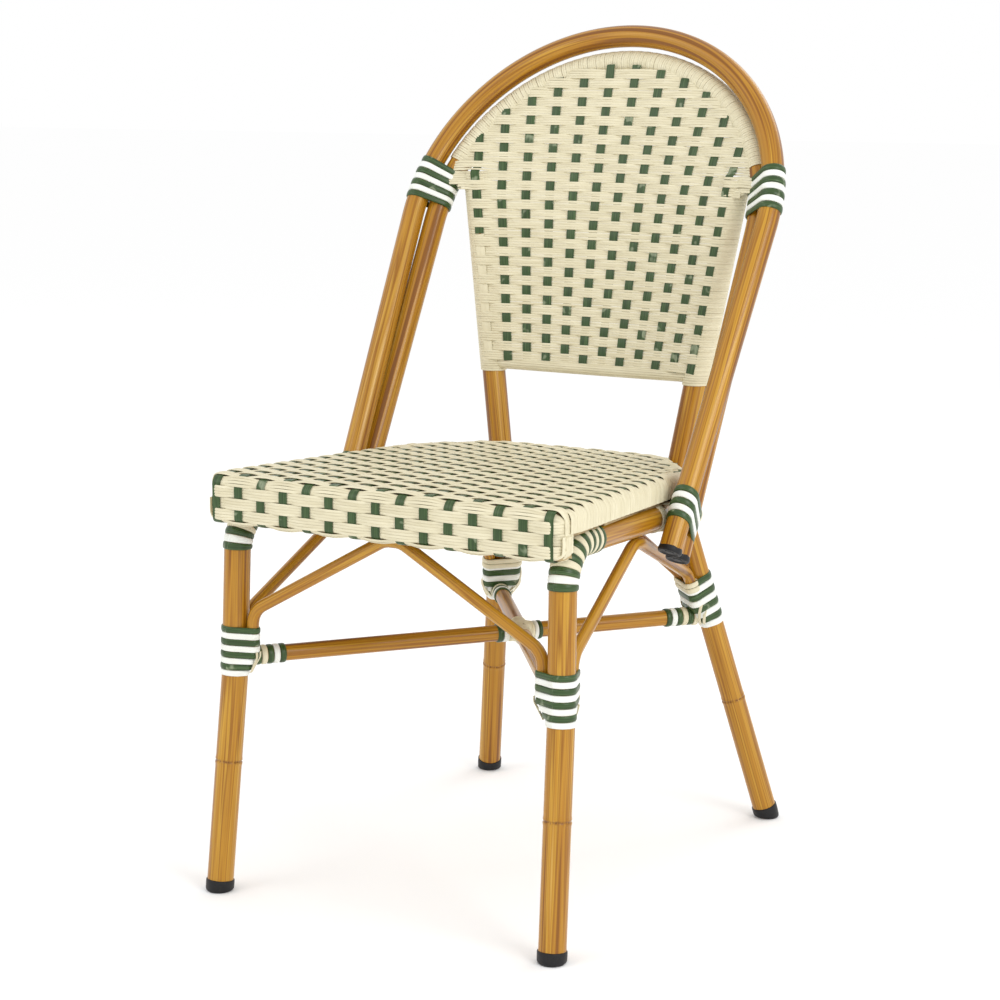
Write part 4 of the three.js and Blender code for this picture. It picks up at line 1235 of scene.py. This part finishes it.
def build_seat():
    pad = SeatPad()
    rear_start = pad.front + SEAT_CORNER
    rows = np.arange(8 * MM, pad.spine.length - 8 * MM, SEAT_ROW)
    near, far, border, stakes = Pile(), Pile(), Pile(), Pile()
    for row, distance in enumerate(rows):
        add_seat_row(near if row < len(rows) // 2 else far, pad, row, distance, rear_start)
    add_seat_border(border, pad, rear_start - 4 * MM)
    add_seat_stakes(stakes, pad, rows)
    near.build("seat_weave_front", [CREAM], "cream", ["woven_seat"])
    far.build("seat_weave_rear", [CREAM], "cream")
    border.build("seat_weave_border", [CREAM], "cream")
    stakes.build("seat_stakes", [GREEN], "cane")
    build_core()


# ---------- stage ----------
CAMERA = {"place": (1.2733, -2.1795, 0.8516), "yaw": 30.63, "pitch": 10.12, "roll": 0.24, "lens": 84.57}


def look_at_chair():
    data = bpy.data.cameras.new("camera")
    data.lens = CAMERA["lens"]
    data.sensor_width = 36
    data.clip_end = 50
    camera = bpy.data.objects.new("camera", data)
    camera.location = CAMERA["place"]
    yaw, pitch, roll = (math.radians(CAMERA[k]) for k in ("yaw", "pitch", "roll"))
    turns = ((yaw, "Z"), (math.pi / 2 - pitch, "X"), (roll, "Z"))
    heading, tilt, bank = (Matrix.Rotation(angle, 3, axis) for angle, axis in turns)
    camera.rotation_euler = (heading @ tilt @ bank).to_euler()
    bpy.context.scene.collection.objects.link(camera)
    bpy.context.scene.camera = camera


def add_light(name, place, size, power):
    data = bpy.data.lights.new(name, "AREA")
    data.energy, data.size = power, size
    light = bpy.data.objects.new(name, data)
    light.location = place
    light.rotation_euler = (Vector((0, 0, 0.45)) - Vector(place)).to_track_quat("-Z", "Y").to_euler()
    bpy.context.scene.collection.objects.link(light)


def build_stage():
    """A plain white floor and soft light from all round, with a key light from the right."""
    mesh = bpy.data.meshes.new("floor")
    reach = 30
    corners = [(x * reach, y * reach, 0) for x, y in ((-1, -1), (1, -1), (1, 1), (-1, 1))]
    mesh.from_pydata(corners, [], [(0, 1, 2, 3)])
    floor = bpy.data.objects.new("floor", mesh)
    g = Graph("floor", Base_Color=(0.99, 0.99, 0.99, 1), Roughness=0.9, Specular_IOR_Level=0.0)
    mesh.materials.append(g.material)
    bpy.context.scene.collection.objects.link(floor)
    world = bpy.data.worlds.new("studio")
    world.use_nodes = True
    background = world.node_tree.nodes["Background"]
    background.inputs["Color"].default_value = (1, 1, 1, 1)
    background.inputs["Strength"].default_value = 1.0
    bpy.context.scene.world = world
    add_light("key", (2.6, -1.0, 1.8), 1.4, 28)
    add_light("fill", (-1.6, -2.4, 2.2), 1.8, 14)
    add_light("back", (0.6, 2.6, 2.4), 1.6, 14)
    bpy.context.scene.view_settings.view_transform = "Standard"


look_at_chair()
build_stage()
build_tubes()
build_caps_and_plugs()
build_bindings()
build_back()
build_seat()
